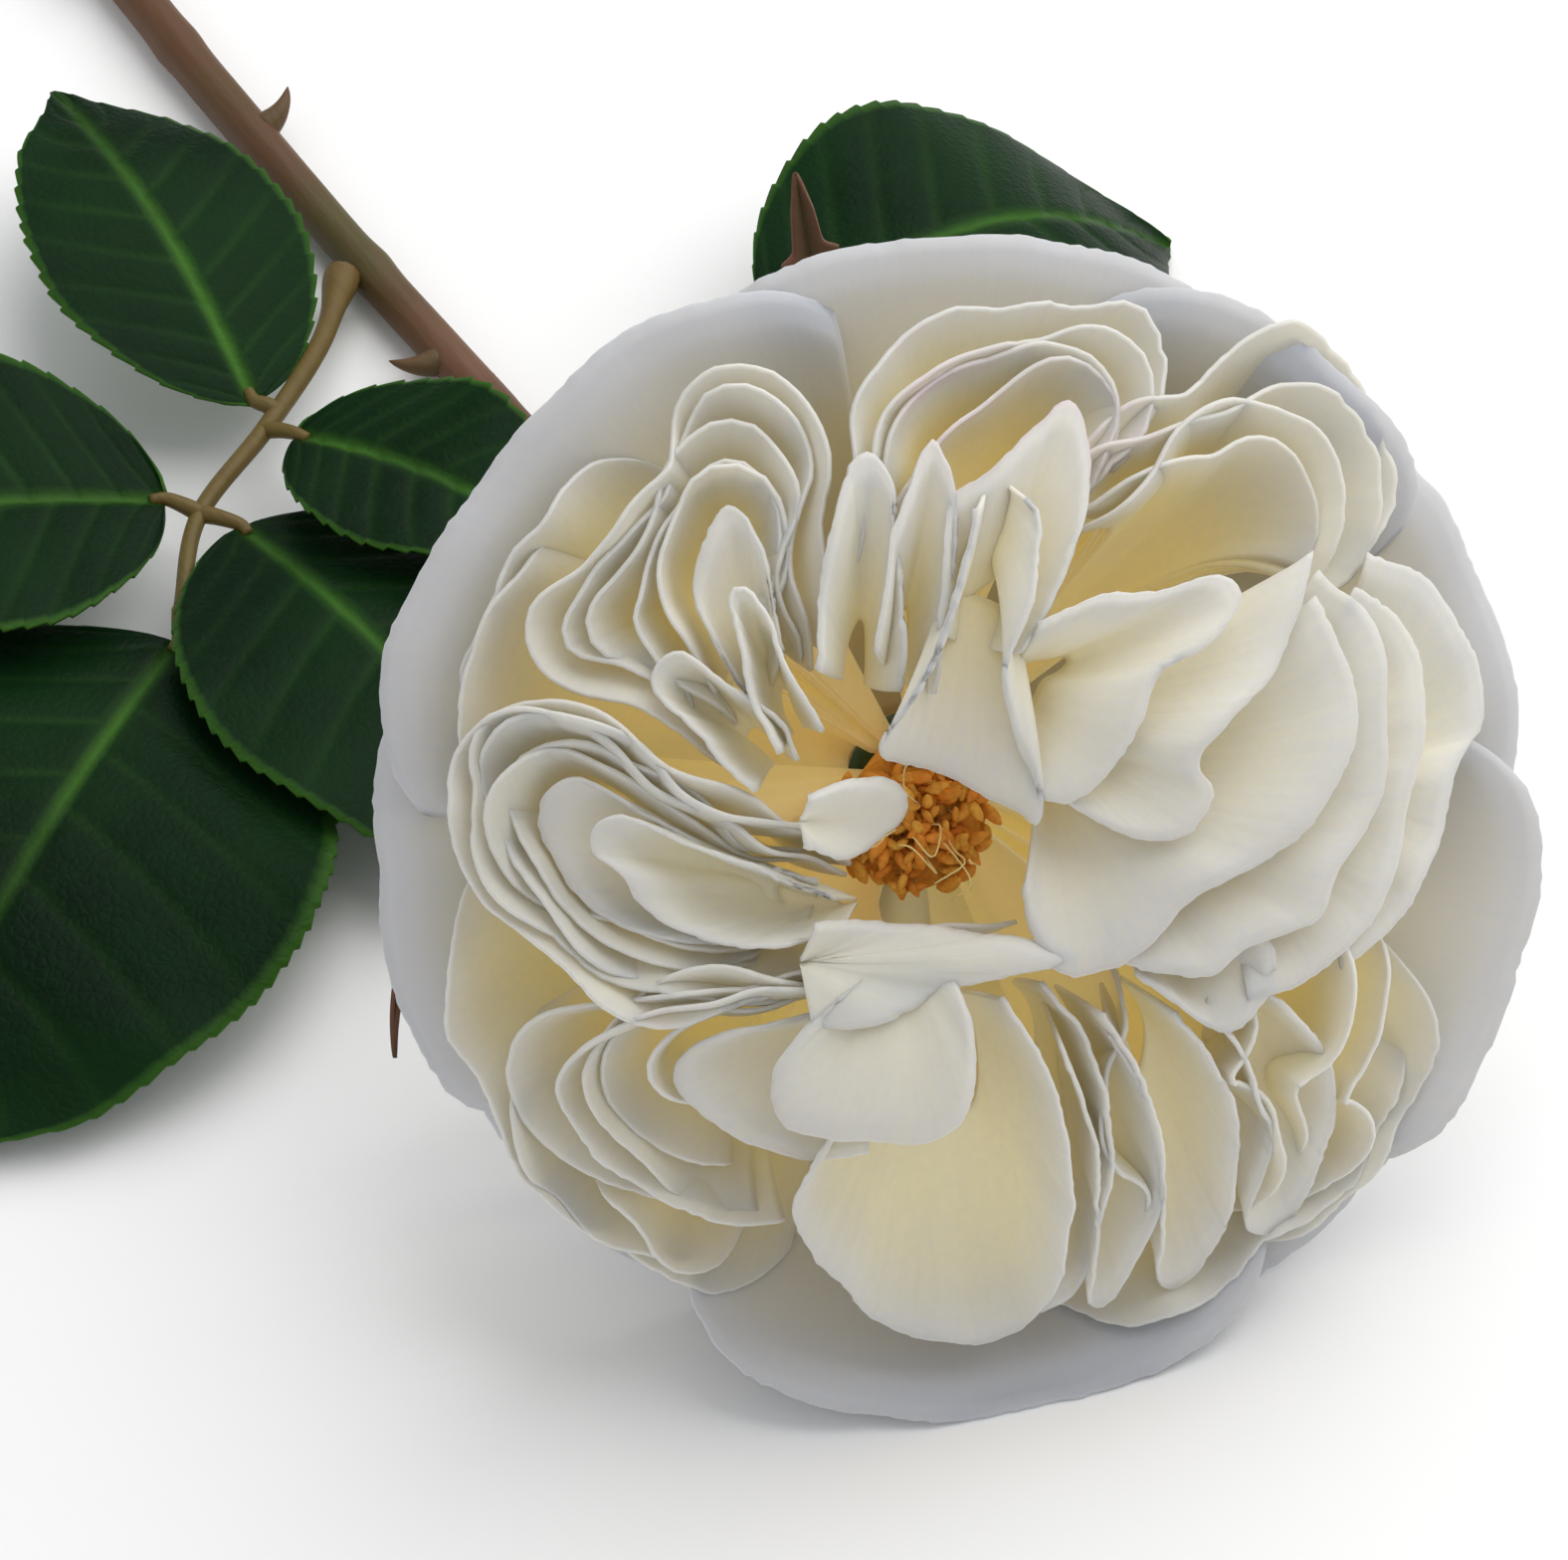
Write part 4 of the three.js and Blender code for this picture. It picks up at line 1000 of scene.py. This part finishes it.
def leaflet(seed, base, tip, width, arch, fold, bank):
    """A toothed blade from base to tip, with its midrib and side veins sunk. bank tilts it."""
    rng = np.random.default_rng(seed)
    base, tip = np.array(base, float), np.array(tip, float)
    along = tip - base
    length = np.linalg.norm(along)
    axis = along / length
    side = turned(unit(np.cross(UP, axis)), axis, math.radians(bank))
    up = np.cross(axis, side)
    v = np.linspace(0, 1, LEAF_ROWS)[:, None]
    u = np.linspace(-1, 1, LEAF_COLUMNS)
    half = width / 2 * np.maximum(0.02, np.sin(np.pi * v**0.82) ** 0.68)
    half = half * (1 - 0.5 * smoothstep(0.8, 1, v))
    teeth = (v * length / TOOTH_SPACING) % 1.0
    tooth = TOOTH_DEPTH * (teeth - 0.5) * np.sin(np.pi * v) ** 0.3
    off = u * half + np.sign(u) * tooth * np.abs(u) ** 12
    run = v + 0.03 * np.sin(2 * np.pi * v)
    slant = run - 0.20 * np.abs(u) ** 1.1 * (1 - 0.3 * v)
    phase = (slant * SIDE_VEINS + 0.5 * (u > 0)) % 1.0
    near = np.minimum(phase, 1 - phase) * length / SIDE_VEINS
    side_vein = np.exp(-((near / SIDE_VEIN_WIDTH) ** 2)) * (1 - 0.65 * np.abs(u))
    midrib = np.exp(-((off / MIDRIB_WIDTH) ** 2)) * (1 - 0.5 * v)
    swell = np.sin(np.pi * phase) ** 0.7 * (1 - np.abs(u) ** 5) * np.sin(np.pi * v) ** 0.4
    ripple = waves(v * length, 34, 13, rng) * np.abs(u) ** 2
    ripple = ripple * np.where(u > 0, 1, -0.8)
    lift = arch * np.sin(np.pi * v) + fold * np.abs(off)
    lift = lift + 0.2 * swell - 0.5 * midrib - 0.1 * side_vein + 1.5 * ripple
    points = base + along * v[..., None] + side * off[..., None] + up * lift[..., None]
    veins = np.maximum(midrib, SIDE_VEIN_STRENGTH * side_vein)
    marks = np.stack(np.broadcast_arrays(veins, v, np.abs(u)), axis=-1)
    return points[:, ::-1], marks[:, ::-1]


def make_leaves():
    for k, (node, form) in enumerate(LEAFLETS.items()):
        shape = Shape()
        points, marks = leaflet(60 + k, **form)
        shape.grid(points, marks)
        shape.build(f"blade_{node}", [LEAF, LEAF_BACK], "leaf", [node], LEAFLET_THICKNESS, -1.0)
    joints = {"leaf_1_stalk": LEAF_1_STALK, "leaf_2_stalk": LEAF_2_STALK}
    for node, line in joints.items():
        shape = Shape()
        path = spline(line, 90)
        t = np.linspace(0, 1, 90)
        girth = STALK_RADIUS * (1.3 - 0.35 * t) * (1 + 0.7 * np.exp(-((t / 0.09) ** 2)))
        marks = np.stack([t, 0.4 + 0.5 * t, 0.6 * (1 - t)], axis=1)
        shape.tube(path, girth, 14, marks)
        for name, form in LEAFLETS.items():
            if not name.startswith(node[:6]):
                continue
            base = np.array(form["base"], float)
            k = int(np.argmin(np.linalg.norm(path - base, axis=1)))
            tip = np.array(form["tip"], float)
            inner = base + unit(tip - base) * 1.5
            steps = spline([path[k], 0.5 * (path[k] + base) + [0, 0, 0.2], base, inner], 16)
            shape.tube(steps, np.linspace(1.0, 0.6, 16), 10, np.array([0.5, 0.8, 0.2]))
        shape.build(f"rachis_{node}", [STALK_SKIN], "leaf_stalk", [node])


# ---- Camera, light and table ----

CAMERA_ELEVATION = math.radians(50)
CAMERA_HEADING = math.radians(32)
CAMERA_DISTANCE = 900
AIM_LEFT = 17.66                    # the camera looks past the bloom's middle, to its left
AIM_ABOVE = 5.7
WORLD_STRENGTH = 0.56
TABLE_HALF = 4.0                    # metres
look_level = np.array([math.sin(CAMERA_HEADING), math.cos(CAMERA_HEADING), 0])
VIEW_RIGHT = np.array([math.cos(CAMERA_HEADING), -math.sin(CAMERA_HEADING), 0])
VIEW_BACK = -look_level * math.cos(CAMERA_ELEVATION) + UP * math.sin(CAMERA_ELEVATION)
VIEW_UP = look_level * math.sin(CAMERA_ELEVATION) + UP * math.cos(CAMERA_ELEVATION)
RIM_CENTRE = HIP_TOP + RIM_PLANE * AXIS
TARGET = RIM_CENTRE - AIM_LEFT * VIEW_RIGHT + AIM_ABOVE * VIEW_UP


def place(thing, point, back):
    """Puts a camera or light at a design-frame point, looking against back."""
    thing.location = Vector((np.asarray(point) + SHIFT) * MM)
    thing.rotation_mode = "QUATERNION"
    thing.rotation_quaternion = Vector(back).to_track_quat("Z", "Y")
    bpy.context.scene.collection.objects.link(thing)


def make_camera():
    data = bpy.data.cameras.new("camera")
    data.sensor_width = 36
    data.lens = 220
    data.clip_start = 0.01
    data.clip_end = 50
    camera = bpy.data.objects.new("camera", data)
    place(camera, TARGET + VIEW_BACK * CAMERA_DISTANCE, VIEW_BACK)
    bpy.context.scene.camera = camera


def area_light(name, direction, distance, size, power, colour):
    data = bpy.data.lights.new(name, "AREA")
    data.shape = "DISK"
    data.size = size
    data.energy = power
    data.color = colour
    light = bpy.data.objects.new(name, data)
    back = unit(direction)
    place(light, RIM_CENTRE + back * distance, back)


def make_studio():
    from_above = VIEW_UP * 1.1 + VIEW_RIGHT * 0.5 + VIEW_BACK * 0.45
    from_left = -VIEW_RIGHT * 0.8 + VIEW_BACK * 0.9
    area_light("key light", from_above, distance=1100, size=1.6, power=12.8, colour=(1.0, 0.99, 0.97))
    area_light("fill light", from_left, distance=1300, size=1.2, power=0.9, colour=(0.96, 0.98, 1.0))
    world = bpy.data.worlds.new("studio")
    world.use_nodes = True
    world.node_tree.nodes["Background"].inputs["Color"].default_value = (0.97, 0.98, 1.0, 1)
    world.node_tree.nodes["Background"].inputs["Strength"].default_value = WORLD_STRENGTH
    bpy.context.scene.world = world
    bpy.context.scene.view_settings.view_transform = "Standard"
    corners = [(x * TABLE_HALF, y * TABLE_HALF, 0) for x, y in ((-1, -1), (1, -1), (1, 1), (-1, 1))]
    mesh = bpy.data.meshes.new("table")
    mesh.from_pydata(corners, [], [(0, 1, 2, 3)])
    nodes = Nodes("table", Roughness=0.9, Specular_IOR_Level=0.1)
    nodes.colour(nodes.mix(nodes.noise(3, 2), (0.93, 0.93, 0.93), (0.95, 0.95, 0.95)))
    mesh.materials.append(nodes.material)
    table = bpy.data.objects.new("table", mesh)
    bpy.context.scene.collection.objects.link(table)


make_camera()
make_studio()
make_rosette()
make_guard_petals()
make_stamens()
make_hip()
make_sepals()
make_stem()
make_leaves()
